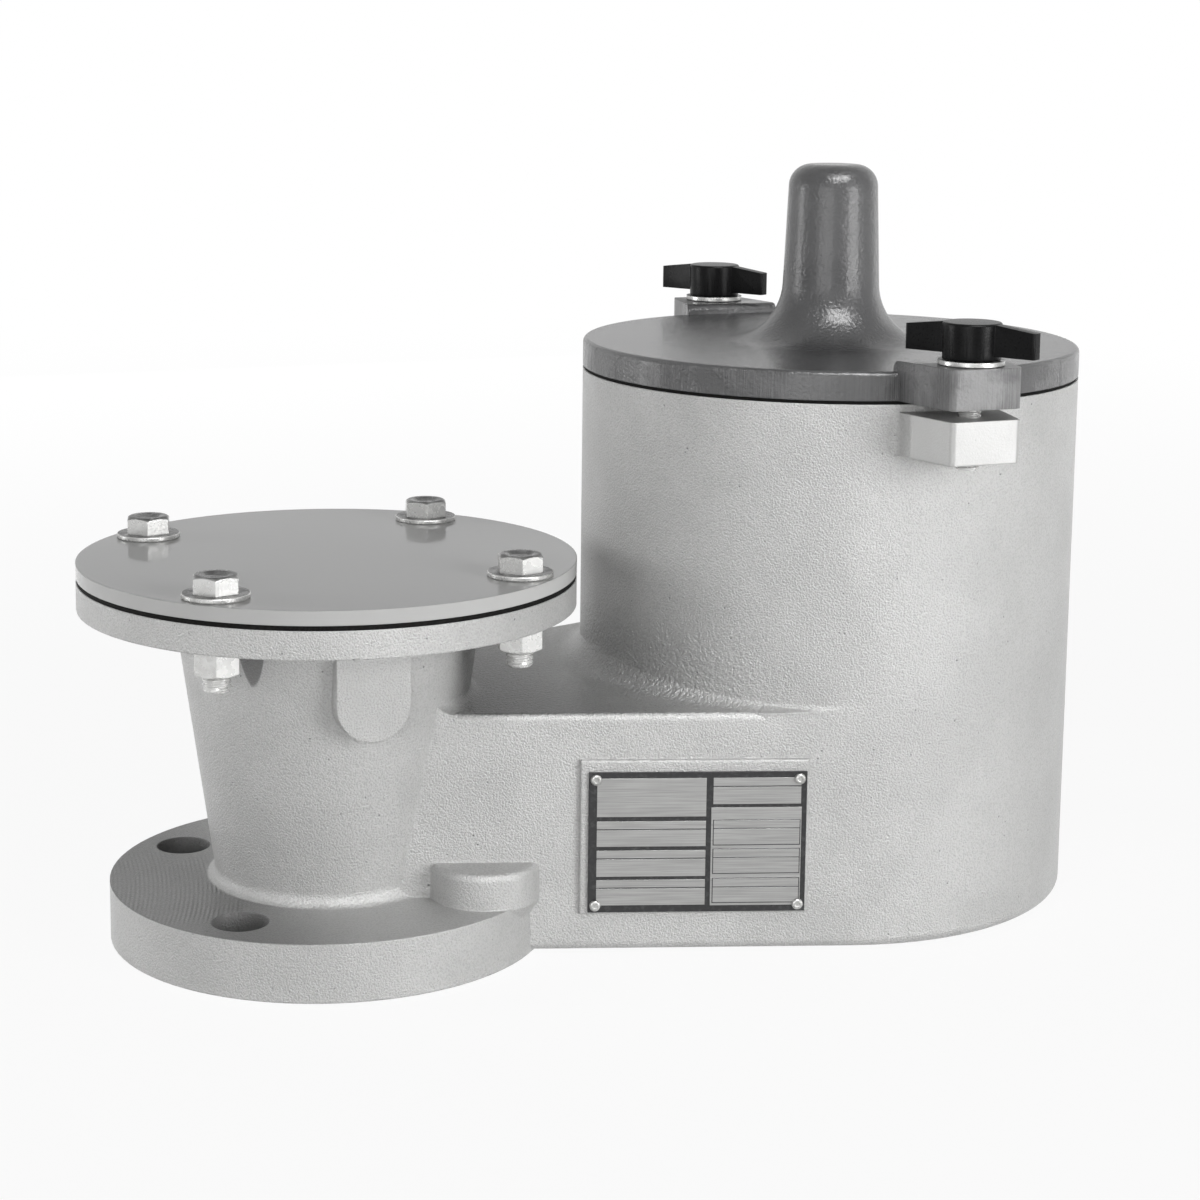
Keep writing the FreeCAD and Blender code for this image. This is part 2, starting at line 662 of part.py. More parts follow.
def plate_pad_pattern():
    """The raised pad that carries the nameplate, wider above the plate and towards the neck."""
    slab = doc.addObject("Part::Box", "plate_pad_block")
    root = number("plate_pad_root")
    bind(slab, "Length", "(plate_width + plate_pad_side + plate_pad_margin) * 1 mm")
    bind(slab, "Width", "(plate_height + plate_pad_over + plate_pad_margin) * 1 mm")
    bind(slab, "Height", "(plate_pad_height + plate_pad_root) * 1 mm")
    corner = FreeCAD.Placement(Vector(-number("plate_width / 2 + plate_pad_side"),
                                      -number("plate_height / 2 + plate_pad_margin"), 0),
                               FreeCAD.Rotation())
    middle = on_front_wall(number("plate_distance"), number("plate_middle"), -root)
    slab.Placement = middle.multiply(corner)
    outwards = middle.Rotation.multVec(Vector(0, 0, 1))
    face = number("plate_pad_height + plate_pad_root")

    def on_face(edge):
        ends = [(vertex.Point - middle.Base).dot(outwards) for vertex in edge.Vertexes]
        return all(abs(end - face) < CLOSE for end in ends)
    return rounded("plate_pad", slab, "plate_pad_edge", on_face)


def lug_plans(sketch, inner):
    """Draw both lugs from above: each is straight inside the wall and narrows to its end."""
    root = "lug_root_width / 2"
    end = "lug_width / 2"
    for sign in ("", "-"):
        outline(sketch, [
            (root, f"{sign}({inner})"),
            (root, f"{sign}({LUG_ROOT})"),
            (end, f"{sign}lug_reach"),
            (f"-{end}", f"{sign}lug_reach"),
            (f"-{root}", f"{sign}({LUG_ROOT})"),
            (f"-{root}", f"{sign}({inner})"),
        ])


def lug_corner(edge):
    """A test for the upright edges at the ends of the lugs."""
    box = edge.BoundBox
    at_end = abs(max(abs(box.YMin), abs(box.YMax)) - number("lug_reach")) < CLOSE
    return box.ZLength > CLOSE and at_end and box.YLength < CLOSE


def chamber_pattern():
    """The chamber's round outside with the two lugs that the lid is screwed to."""
    barrel = rod("chamber_barrel", "chamber_radius", "channel_top / 2", "chamber_top",
                 "axis_spacing")
    plan = free_sketch("lug_plan", LUG_UNDERSIDE)
    bind(plan, "Placement.Base.x", "axis_spacing * 1 mm")
    lug_plans(plan, f"{LUG_ROOT} - lug_root_depth")
    lugs = rounded("lug_pattern", prism("lug_block", plan, "lug_height"), "lug_corner_radius",
                   lug_corner)
    whole = joined("chamber_with_lugs", barrel, lugs)
    height = number("lug_height")
    middle = number("axis_spacing")
    radius = number("chamber_radius")

    def at_root(edge):
        box = edge.BoundBox
        away = math.hypot(box.Center.x - middle, box.Center.y)
        return abs(box.ZLength - height) < CLOSE and abs(away - radius) < CLOSE
    return rounded("chamber_pattern", whole, "lug_root_radius", at_root)


def casting_pattern():
    """The outside of the casting, before its cores and drilling."""
    neck_radius = "neck_base_radius + (neck_top_radius - neck_base_radius)" \
                  " * (channel_top - tank_flange_thickness)" \
                  " / (cover_flange_underside - tank_flange_thickness)"
    chamber = joined(
        "chamber_on_channel",
        channel_pattern(),
        chamber_pattern(),
        cove("chamber_cove", "axis_spacing - chamber_cove_shift",
             "chamber_radius - chamber_cove_shift", "chamber_cove"),
        cove("chamber_root", "axis_spacing", "chamber_radius", "chamber_root"),
        plate_pad_pattern(),
    )
    return joined(
        "casting_pattern",
        chamber,
        neck_pattern(),
        cove("neck_cove", "0", neck_radius, "neck_cove"),
        boss_pattern("front_boss", -45),
        boss_pattern("rear_boss", 45),
        flat_pattern(),
    )


def channel_core(name, low, high):
    """The hollow of the channel between two heights."""
    plan = free_sketch(name + "_plan", low)
    inner = "channel_end_radius - casting_wall"
    teardrop(plan, inner, CHAMBER_BORE, "axis_spacing")
    return prism(name, plan, f"({high}) - ({low})")


def casting_cores():
    """Everything hollow in the casting: neck, channel, seat tube, chamber and vent port."""
    far = "axis_spacing + chamber_radius"
    wide = "chamber_radius + overrun"
    half_wall = "casting_wall / 2"
    ceiling = "channel_top - casting_wall"
    neck = spun("neck_core", [
        ("0", "-overrun"),
        ("bore_radius", "-overrun"),
        ("bore_radius", "tank_flange_thickness"),
        ("neck_base_radius - casting_wall", "bore_flare_height"),
        ("neck_top_radius - casting_wall", f"{COVER_FLANGE_TOP} + overrun"),
        ("0", f"{COVER_FLANGE_TOP} + overrun"),
    ])
    upper = channel_core("upper_channel_core", "bore_flare_height", ceiling)
    lower = cut("lower_channel_core",
                channel_core("lower_channel_whole", "channel_floor", "bore_flare_height + overrun"),
                block("step_keep", ("-tank_flange_radius", "step_distance"), (f"-({wide})", wide),
                      ("0", "channel_top")))
    beyond = block("partition_keep", (f"axis_spacing - {half_wall}", f"{far} + overrun"),
                   (f"-({wide})", wide), ("0", "channel_top"))
    channel = cut("channel_hollow", joined("channel_cores", upper, lower), beyond)
    seat_bore = rod("seat_bore_core", "tube_bore_radius", "channel_floor", "tube_top + overrun",
                    "axis_spacing")
    tube = rod("tube_keep", TUBE_RADIUS, "0", "tube_top", "axis_spacing")
    room = rod("chamber_room", CHAMBER_BORE, "channel_top", "chamber_top + overrun", "axis_spacing")
    port = shared("port_half",
                  rod("port_round", CHAMBER_BORE, "-overrun", "channel_top + overrun",
                      "axis_spacing"),
                  block("port_side", (f"axis_spacing + {half_wall}", f"{far} + overrun"),
                        (f"-({wide})", wide), ("-overrun", "channel_top + overrun")))
    kept = joined("chamber_keep", tube, *screen_bosses())
    outlet = cut("chamber_hollow", joined("chamber_cores", room, port), kept)
    return [neck, channel, seat_bore, outlet]


def screen_boss_points(height):
    """Where the three screws of the vent screen stand."""
    radius = number(f"{CHAMBER_BORE} - screen_boss_inset")
    reach = number("screen_boss_angle")
    return polar_points(radius, (-reach, 0, reach), number("axis_spacing"), height)


def screen_bosses():
    """The bosses that the vent screen is screwed up against."""
    bosses = []
    radius = f"{CHAMBER_BORE} - screen_boss_inset"
    for index, side in enumerate(("-screen_boss_angle", "0", "screen_boss_angle"), start=1):
        bosses.append(rod(f"screen_boss_{index}", "screen_boss_radius",
                          "screen_height + screen_thickness", "screen_boss_height",
                          f"axis_spacing + ({radius}) * cos({side})",
                          f"({radius}) * sin({side})"))
    return bosses


def drilled_holes():
    """Bolt holes, tapped holes and rivet holes of the casting."""
    holes = []
    flange_circle = "tank_bolt_circle_radius"
    for angle in DIAGONALS:
        spot = (f"{flange_circle} * cos({angle})", f"{flange_circle} * sin({angle})")
        if math.cos(math.radians(angle)) < 0:
            holes.append(rod(f"tank_hole_{angle}", "tank_hole_radius", "-overrun",
                             "tank_flange_thickness + overrun", *spot))
        else:
            holes.append(rod(f"tapped_hole_{angle}", "tapped_hole_radius", "-overrun",
                             "tapped_hole_depth", *spot))
        cover = (f"cover_bolt_circle_radius * cos({angle})",
                 f"cover_bolt_circle_radius * sin({angle})")
        holes.append(rod(f"cover_hole_{angle}", "cover_hole_radius",
                         "cover_flange_underside - overrun",
                         f"{COVER_FLANGE_TOP} + overrun", *cover))
    for name, side in (("front", f"-{SCREW_REACH}"), ("rear", SCREW_REACH)):
        holes.append(rod(f"{name}_lug_hole", "bolt_radius + thread_clearance",
                         f"{LUG_UNDERSIDE} - overrun", f"{LUG_TOP} + overrun", "axis_spacing",
                         side))
    depth = number("rivet_length + rivet_hole_spare")
    drill = Part.makeCylinder(number("rivet_radius + thread_clearance"),
                              depth + number("overrun"), Vector(0, 0, -depth))
    group = doc.addObject("Part::Feature", "rivet_holes")
    group.Shape = Part.makeCompound([drill.transformed(spot.toMatrix()) for spot in rivet_spots(0)])
    holes.append(group)
    tapped = Part.makeCylinder(number("screen_screw_radius + thread_clearance"),
                               number("screen_screw_length + screen_hole_spare"))
    group = doc.addObject("Part::Feature", "screen_screw_holes")
    group.Shape = Part.makeCompound(spread(tapped, screen_boss_points(number("screen_height"))))
    holes.append(group)
    return holes


def rivet_spots(proud):
    """Placements of the four drive screws, at a height above the nameplate's back."""
    across = number("plate_width / 2 - rivet_inset")
    up = number("plate_height / 2 - rivet_inset")
    spots = []
    for side, level in ((-1, -1), (1, -1), (1, 1), (-1, 1)):
        spots.append(on_front_wall(number("plate_distance") + side * across,
                                   number("plate_middle") + level * up,
                                   number("plate_pad_height") + proud))
    return spots


def casting():
    """The one-piece body of the valve."""
    hollowed = cut("casting_hollowed", casting_pattern(), joined("cores", *casting_cores()))
    node(cut("casting_drilled", hollowed, joined("drilling", *drilled_holes())), "body_casting")


def drill_round(body, name, low, length):
    """Drill the four cover bolt holes through a disc."""
    sketch = body_sketch(body, name + "_plan", "XY_Plane", low)
    for angle in DIAGONALS:
        circle(sketch, f"cover_bolt_circle_radius * cos({angle})",
               f"cover_bolt_circle_radius * sin({angle})", "cover_hole_radius")
    pocket(body, name, sketch, length)


def blind_cover():
    """The gasket and the plate that close the neck, with bolts, washers and nuts."""
    gasket = turned("cover_gasket", tube_profile("neck_top_radius - casting_wall",
                    "cover_flange_radius - gasket_inset", "0", "gasket_thickness"),
                    z=COVER_FLANGE_TOP)
    drill_round(gasket, "gasket_holes", "0", "gasket_thickness")
    cover = turned("cover_plate", tube_profile("0", "cover_flange_radius", "0", "cover_thickness"),
                   z=COVER_UNDERSIDE)
    drill_round(cover, "cover_holes", "0", "cover_thickness")


def hex_solid(flats, height, chamfer, bore="0"):
    """A hexagon head or nut whose corners are turned off at the top."""
    size = number(flats)
    corners = [Vector(number(x), number(y), 0) for x, y in hexagon(flats)]
    face = Part.Face(Part.makePolygon(corners + corners[:1]))
    solid = face.extrude(Vector(0, 0, number(height)))
    reach = size / math.sqrt(3)
    crown = number(chamfer)
    limit = Part.makeCylinder(reach, number(height) - crown / 2)
    slope = Part.makeCone(reach, size / 2 - crown / 4, crown / 2,
                          Vector(0, 0, number(height) - crown / 2))
    solid = solid.common(limit.fuse(slope))
    if number(bore) > 0:
        solid = solid.cut(Part.makeCylinder(number(bore), number(height)))
    return solid


def cover_fasteners():
    """Four hexagon bolts with a washer above and a nut below."""
    bolt_length = number(f"{COVER_TOP} + washer_thickness - cover_flange_underside"
                         " + nut_height + bolt_overhang")
    radius = number("bolt_radius")
    tip = number("tip_chamfer")
    shank = Part.makeCylinder(radius, bolt_length - tip, Vector(0, 0, tip - bolt_length))
    point = Part.makeCone(radius - tip, radius, tip, Vector(0, 0, -bolt_length))
    head = hex_solid("hex_flats", "head_height", "hex_chamfer")
    bolt = head.fuse([shank, point]).removeSplitter()
    circle_radius = number("cover_bolt_circle_radius")

    def at_height(height):
        return polar_points(circle_radius, DIAGONALS, 0.0, number(height))
    compound("cover_bolts", spread(bolt, at_height(f"{COVER_TOP} + washer_thickness")))
    washer = Part.makeCylinder(number("washer_radius"), number("washer_thickness"))
    washer = washer.cut(Part.makeCylinder(number("washer_bore_radius"), number("washer_thickness")))
    compound("cover_washers", spread(washer, at_height(COVER_TOP)))
    nut = hex_solid("hex_flats", "nut_height", "hex_chamfer", "bolt_radius + thread_clearance")
    nut = nut.rotated(Vector(0, 0, number("nut_height") / 2), Vector(1, 0, 0), 180)
    compound("cover_nuts", spread(nut, at_height("cover_flange_underside - nut_height")))


def nameplate():
    """The blank nameplate and its four drive screws."""
    width, height = number("plate_width"), number("plate_height")
    thickness = number("plate_thickness")
    sheet_metal = Part.makeBox(width, height, thickness, Vector(-width / 2, -height / 2, 0))
    back = on_front_wall(number("plate_distance"), number("plate_middle"),
                         number("plate_pad_height"))
    drill = Part.makeCylinder(number("rivet_radius + thread_clearance"), 2 * thickness,
                              Vector(0, 0, -thickness / 2))
    drills = [drill.transformed(spot.toMatrix()) for spot in rivet_spots(0)]
    plate = doc.addObject("Part::Feature", "nameplate")
    plate.Shape = sheet_metal.transformed(back.toMatrix()).cut(drills)
    node(plate, "nameplate")

    shank_radius, length = number("rivet_radius"), number("rivet_length")
    head_radius, slope = number("rivet_head_radius"), number("rivet_head_slope")
    head = Part.makeCone(head_radius, head_radius - slope, number("rivet_head_height"))
    screw = head.fuse(Part.makeCylinder(shank_radius, length, Vector(0, 0, -length)))
    compound("nameplate_screws",
             [screw.transformed(spot.toMatrix()) for spot in rivet_spots(thickness)])


def vent_screen():
    """The perforated sheet across the vent port, and its three screws."""
    inner = f"{TUBE_RADIUS} + screen_clearance"
    outer = f"{CHAMBER_BORE} - screen_clearance"
    edge = "casting_wall / 2 + screen_clearance"
    thickness = number("screen_thickness")
    flat = Part.makeCylinder(number(outer), thickness)
    flat = flat.cut(Part.makeCylinder(number(inner), thickness))
    side = number(outer)
    keep = Part.makeBox(side, 2 * side, thickness, Vector(number(edge), -side, 0))
    flat = flat.common(keep)
    hole = Part.makeCylinder(number("screen_hole_radius"), thickness)
    flat = flat.cut([hole.translated(Vector(x, y, 0)) for x, y in screen_hole_points()])
    middle = Vector(number("axis_spacing"), 0, number("screen_height"))
    flat = flat.translated(middle)
    screw_hole = Part.makeCylinder(number("screen_screw_radius + thread_clearance"), thickness)
    flat = flat.cut(spread(screw_hole, screen_boss_points(number("screen_height"))))
    screen = doc.addObject("Part::Feature", "vent_screen")
    screen.Shape = flat
    node(screen, "vent_screen")

    length = number("screen_screw_length")
    head_height = number("screen_screw_head_height")
    head = Part.makeCylinder(number("screen_screw_head_radius"), head_height,
                             Vector(0, 0, -head_height))
    screw = head.fuse(Part.makeCylinder(number("screen_screw_radius"), length))
    compound("screen_screws", spread(screw, screen_boss_points(number("screen_height"))))


def screen_hole_points():
    """Middles of the perforations, staggered, clear of the border and the screws."""
    pitch = number("screen_pitch")
    row_step = pitch * math.sqrt(3) / 2
    margin = number("screen_border") + number("screen_hole_radius") / 2
    inner = number(f"{TUBE_RADIUS} + screen_clearance") + margin
    outer = number(f"{CHAMBER_BORE} - screen_clearance") - margin
    start = number("casting_wall / 2 + screen_clearance") + margin
    centre = number("axis_spacing")
    screws = [(x - centre, y) for x, y, z in screen_boss_points(0.0)]
    keep_off = number("screen_boss_radius + screen_hole_radius + screen_hole_gap")
    reach = int(outer / row_step) + 1
    points = []
    for row in range(-reach, reach + 1):
        y = row * row_step
        shift = pitch / 2 if row % 2 else 0.0
        for column in range(int(outer / pitch) + 1):
            x = start + shift + column * pitch
            radius = math.hypot(x, y)
            clear = all(math.hypot(x - a, y - b) > keep_off for a, b in screws)
            if inner < radius < outer and clear:
                points.append((x, y))
    return points


def lid_gasket():
    """The flat ring between the chamber's rim and the lid."""
    outer = "chamber_radius - lid_gasket_inset"
    turned("lid_gasket", tube_profile(f"{outer} - lid_gasket_width", outer, "0",
           "lid_gasket_thickness"), "axis_spacing", "0", "chamber_top")


def lid():
    """The lid with its hollow guide post and its two lugs, and the bush in the post."""
    skin = "lid_rim_height - lid_skin"
    spigot_outer = f"{CHAMBER_BORE} - spigot_clearance"
    spigot_inner = f"{spigot_outer} - spigot_width"
    post_top = "lid_rim_height + post_height"
    body = new_body("lid", "axis_spacing", "0", LID_UNDERSIDE)
    revolve(body, "lid_turning", [
        ("0", post_top),
        ("post_top_radius", post_top),
        ("post_foot_radius", "lid_rim_height"),
        ("chamber_radius", "lid_rim_height"),
        ("chamber_radius", "0"),
        (spigot_outer, "0"),
        (spigot_outer, "-spigot_depth"),
        (spigot_inner, "-spigot_depth"),
        (spigot_inner, skin),
        ("post_collar_radius", skin),
        ("post_collar_radius", "0"),
        ("post_bore_radius", "0"),
        ("post_bore_radius", f"{post_top} - post_roof"),
        ("0", f"{post_top} - post_roof"),
    ])
    soften(body, "post_foot", "post_flare", ring_edge("lid_rim_height", "post_foot_radius"))
    soften(body, "post_crown", "post_corner_radius", ring_edge(post_top, "post_top_radius"))
    soften(body, "lid_edge", "lid_edge_radius", ring_edge("lid_rim_height", "chamber_radius"))
    top = "lid_rim_height + lid_lug_rise"
    plan = body_sketch(body, "lid_lug_plan")
    lug_plans(plan, "chamber_radius - lid_lug_inset")
    pad(body, "lid_lugs", plan, top)
    soften(body, "lid_lug_corners", "lug_corner_radius", lug_corner)
    inner_end = number("chamber_radius - lid_lug_inset")
    at_top = level_edge(top)

    def inner_edge(edge):
        box = edge.BoundBox
        return at_top(edge) and abs(abs(box.Center.y) - inner_end) < CLOSE
    soften(body, "lid_lug_ramps", "lid_lug_ramp", inner_edge)
    holes = body_sketch(body, "lid_lug_hole_plan", "XY_Plane", "-overrun")
    for side in (f"-{SCREW_REACH}", SCREW_REACH):
        circle(holes, "0", side, "bolt_radius + lug_hole_clearance")
    pocket(body, "lid_lug_holes", holes, f"{top} + 2 * overrun")

    bush_radius = "post_bore_radius - press_clearance"
    bush_bore = "guide_tube_radius + running_clearance"
    turned("guide_bush", [
        (bush_bore, "-guide_bush_flange"),
        ("post_collar_radius - guide_bush_inset", "-guide_bush_flange"),
        ("post_collar_radius - guide_bush_inset", "0"),
        (bush_radius, "0"),
        (bush_radius, "guide_bush_length"),
        (bush_bore, "guide_bush_length"),
    ], "axis_spacing", "0", LID_UNDERSIDE)


def lid_screw(name, side):
    """One wing knob with its screw and washer."""
    washer_base = f"{LID_LUG_TOP} + seating_gap"
    knob_base = f"{washer_base} + knob_washer_thickness + seating_gap"
    screw_end = f"{LUG_UNDERSIDE} - screw_overhang"
    socket = "bolt_radius + thread_clearance"
    turned(f"{name}_knob_washer", tube_profile("washer_bore_radius", "washer_radius", "0",
           "knob_washer_thickness"), "axis_spacing", side, washer_base)
    screw_top = f"{knob_base} + knob_socket_depth"
    turned(f"{name}_knob_screw", [
        ("0", "0"),
        ("bolt_radius - tip_chamfer", "0"),
        ("bolt_radius", "tip_chamfer"),
        ("bolt_radius", f"{screw_top} - ({screw_end})"),
        ("0", f"{screw_top} - ({screw_end})"),
    ], "axis_spacing", side, screw_end)
    knob = new_body(f"{name}_knob", "axis_spacing", side, knob_base)
    bind(knob, "Placement.Rotation.Angle", "knob_angle * 1 deg")
    knob.Placement.Rotation.Axis = Vector(0, 0, 1)
    revolve(knob, f"{name}_hub", [
        ("0", "knob_socket_depth"),
        (socket, "knob_socket_depth"),
        (socket, "0"),
        ("knob_hub_radius - knob_hub_taper", "0"),
        ("knob_hub_radius", "knob_hub_height"),
        ("0", "knob_hub_height"),
    ])
    soften(knob, f"{name}_crown", "knob_edge_radius", ring_edge("knob_hub_height", "knob_hub_radius"))
    profile = body_sketch(knob, f"{name}_wing_profile", "XZ_Plane")
    half = "knob_span / 2"
    rim = "knob_hub_radius - knob_wing_root"
    for sign in ("", "-"):
        outline(profile, [
            (f"{sign}({rim})", "knob_wing_lift"),
            (f"{sign}({half})", "knob_wing_lift"),
            (f"{sign}({half})", "knob_wing_lift + knob_tip_height"),
            (f"{sign}({rim})", "knob_wing_lift + knob_wing_height"),
        ])
    pad(knob, f"{name}_wings", profile, "knob_wing_width", midplane=True)
    tip = number("knob_span / 2")

    def tip_corner(edge):
        box = edge.BoundBox
        ends = [abs(vertex.X) for vertex in edge.Vertexes]
        return min(ends) > tip - CLOSE and box.ZLength > CLOSE
    soften(knob, f"{name}_wing_tips", "knob_edge_radius", tip_corner)


def seat_ring():
    """The seat that the pressure pallet rests on, pressed into the tube."""
    lip_outer = "seat_lip_radius + seat_lip_width / 2"
    lip_inner = "seat_lip_radius - seat_lip_width / 2"
    turned("seat_ring", [
        ("seat_bore_radius", "-seat_spigot_depth"),
        ("tube_bore_radius - press_clearance", "-seat_spigot_depth"),
        ("tube_bore_radius - press_clearance", "0"),
        (f"{TUBE_RADIUS} - seat_flange_inset", "0"),
        (f"{TUBE_RADIUS} - seat_flange_inset", "seat_flange_height"),
        (lip_outer, "seat_flange_height"),
        (lip_outer, "seat_flange_height + seat_lip_height"),
        (lip_inner, "seat_flange_height + seat_lip_height"),
        (lip_inner, "seat_flange_height"),
        ("seat_bore_radius", "seat_flange_height"),
    ], "axis_spacing", "0", "tube_top")


def pressure_pallet():
    """The pressure pallet with its seal, weights, clip and guide tube."""
    spot = ("axis_spacing", "0", PALLET_UNDERSIDE)
    collar_inner = "pallet_collar_radius - pallet_collar_wall"
    stack = "weight_count * weight_thickness"
    groove_low = f"pallet_thickness + {stack}"
    groove_high = f"{groove_low} + clip_thickness"
    tube_socket = "guide_tube_radius - guide_tube_wall - press_clearance"
    body = turned("pressure_pallet", [
        ("stem_radius + running_clearance", "-hub_drop"),
        ("hub_radius", "-hub_drop"),
        ("hub_radius", "0"),
        ("pallet_radius", "0"),
        ("pallet_radius", "pallet_thickness"),
        ("pallet_collar_radius", "pallet_thickness"),
        ("pallet_collar_radius", groove_low),
        ("pallet_collar_radius - clip_grip", groove_low),
        ("pallet_collar_radius - clip_grip", groove_high),
        ("pallet_collar_radius", groove_high),
        ("pallet_collar_radius", f"{groove_high} + pallet_collar_rim"),
        (collar_inner, f"{groove_high} + pallet_collar_rim"),
        (collar_inner, "pallet_thickness"),
        (tube_socket, "pallet_thickness"),
        (tube_socket, "pallet_thickness + hub_rise"),
        ("stem_radius + running_clearance", "pallet_thickness + hub_rise"),
    ], *spot)
    ports = body_sketch(body, "port_plan", "XY_Plane", "-hub_drop")
    for index in range(int(number("port_count"))):
        angle = f"{index} * 360 / port_count"
        circle(ports, f"port_circle_radius * cos({angle})", f"port_circle_radius * sin({angle})",
               "port_radius")
    pocket(body, "ports", ports, "hub_drop + pallet_thickness + overrun")

    turned("pallet_seal", tube_profile("seal_bore_radius", "pallet_radius - seal_inset", "0",
           "seal_thickness"), "axis_spacing", "0", SEAL_UNDERSIDE)
    turned("guide_tube", tube_profile("guide_tube_radius - guide_tube_wall", "guide_tube_radius",
           "0", "guide_tube_length"), "axis_spacing", "0", PALLET_TOP)
    ring = Part.makeCylinder(number("weight_radius"), number("weight_thickness"))
    ring = ring.cut(Part.makeCylinder(number("pallet_collar_radius + weight_clearance"),
                                      number("weight_thickness")))
    base = number(PALLET_TOP)
    step = number("weight_thickness")
    levels = [(number("axis_spacing"), 0, base + step * index)
              for index in range(int(number("weight_count")))]
    compound("loading_weights", spread(ring, levels))
    turned("weight_clip", tube_profile("pallet_collar_radius - clip_grip + press_clearance",
           "clip_radius", "0", "clip_thickness"), "axis_spacing", "0",
           f"{PALLET_TOP} + {stack}")


def vacuum_pallet():
    """The vacuum pallet with its stem, spring, spring cup and nuts."""
    lip_top = f"{SEAL_UNDERSIDE} - seating_gap"
    disc_top = f"{lip_top} - vacuum_lip_height"
    underside = f"{disc_top} - vacuum_thickness"
    lip_outer = "vacuum_lip_radius + vacuum_lip_width / 2"
    lip_inner = "vacuum_lip_radius - vacuum_lip_width / 2"
    bore = "stem_radius + press_clearance"
    turned("vacuum_pallet", [
        (bore, "0"),
        ("vacuum_radius", "0"),
        ("vacuum_radius", "vacuum_thickness"),
        (lip_outer, "vacuum_thickness"),
        (lip_outer, "vacuum_thickness + vacuum_lip_height"),
        (lip_inner, "vacuum_thickness + vacuum_lip_height"),
        (lip_inner, "vacuum_thickness"),
        (bore, "vacuum_thickness"),
    ], "axis_spacing", "0", underside)
    low = f"{underside} - lock_nut_height - stem_tail"
    stem_span = "stem_length + vacuum_thickness + lock_nut_height + stem_tail"
    turned("vacuum_stem", [
        ("0", "0"),
        ("stem_radius - stem_chamfer", "0"),
        ("stem_radius", "stem_chamfer"),
        ("stem_radius", f"{stem_span} - stem_chamfer"),
        ("stem_radius - stem_chamfer", stem_span),
        ("0", stem_span),
    ], "axis_spacing", "0", low)
    spring_low = f"{PALLET_TOP} + hub_rise"
    cup_low = f"{spring_low} + spring_length"
    turned("spring_cup", tube_profile(bore, "spring_cup_radius", "0", "spring_cup_thickness"),
           "axis_spacing", "0", cup_low)
    nut = hex_solid("lock_nut_flats", "lock_nut_height", "hex_chamfer", bore)
    axis = number("axis_spacing")
    low_nut = (axis, 0, number(f"{underside} - lock_nut_height"))
    top_nut = (axis, 0, number(f"{cup_low} + spring_cup_thickness"))
    compound("stem_nuts", spread(nut, (low_nut, top_nut)))
    vacuum_spring(spring_low)


def vacuum_spring(spring_low):
    """The compression spring round the stem: a helix with a plain square section."""
    wire = number("spring_wire_radius")
    height = number("spring_length") - 2 * wire
    turns = number("spring_turns")
    radius = number("spring_radius")
    helix = Part.makeHelix(height / turns, height, radius)
    corners = [Vector(radius + wire * out, 0, wire * up)
               for out, up in ((-1, -1), (1, -1), (1, 1), (-1, 1), (-1, -1))]
    coil = Part.Wire(helix).makePipeShell([Part.makePolygon(corners)], True, True)
    spring = doc.addObject("Part::Feature", "vacuum_spring")
    spring.Shape = coil.translated(Vector(number("axis_spacing"), 0, number(spring_low) + wire))
    node(spring, "vacuum_spring")


def check():
    """Stop if any feature failed or any sub-part has no sound shape."""
    doc.recompute()
    for item in doc.Objects:
        if "Invalid" in item.State or "Error" in item.State:
            raise RuntimeError(f"{item.Label} did not build: {item.State}")
    for part in nodes:
        if part.Shape.isNull() or not part.Shape.isValid():
            raise RuntimeError(f"{part.Label} has no valid shape")


def export():
    """Write each sub-part to a file of its own name."""
    os.makedirs("parts", exist_ok=True)
    for part in nodes:
        part.Shape.exportStep(f"parts/{part.Label}.step")
        print(f"{part.Label}: {len(part.Shape.Solids)} solid, {part.Shape.Volume:.0f} mm3")


casting()
blind_cover()
cover_fasteners()
nameplate()
vent_screen()
lid_gasket()
lid()
lid_screw("front", f"-{SCREW_REACH}")
lid_screw("rear", SCREW_REACH)
seat_ring()
pressure_pallet()
vacuum_pallet()
check()
export()
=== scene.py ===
"""A two inch tank breather valve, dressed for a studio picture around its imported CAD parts.

All lengths are metres in the frame of the CAD model: the origin is the middle of the tank
flange's lower face, +X runs along the casting to the valve chamber, +Z is up and the nameplate
is on the -Y side. Each sub-assembly is a class whose fields are its sizes. Its methods build
meshes and give every piece its finish.
"""
import json
import logging
import math
from dataclasses import dataclass, field
from enum import Enum
from functools import reduce

import bmesh
import bpy
from mathutils import Matrix, Vector

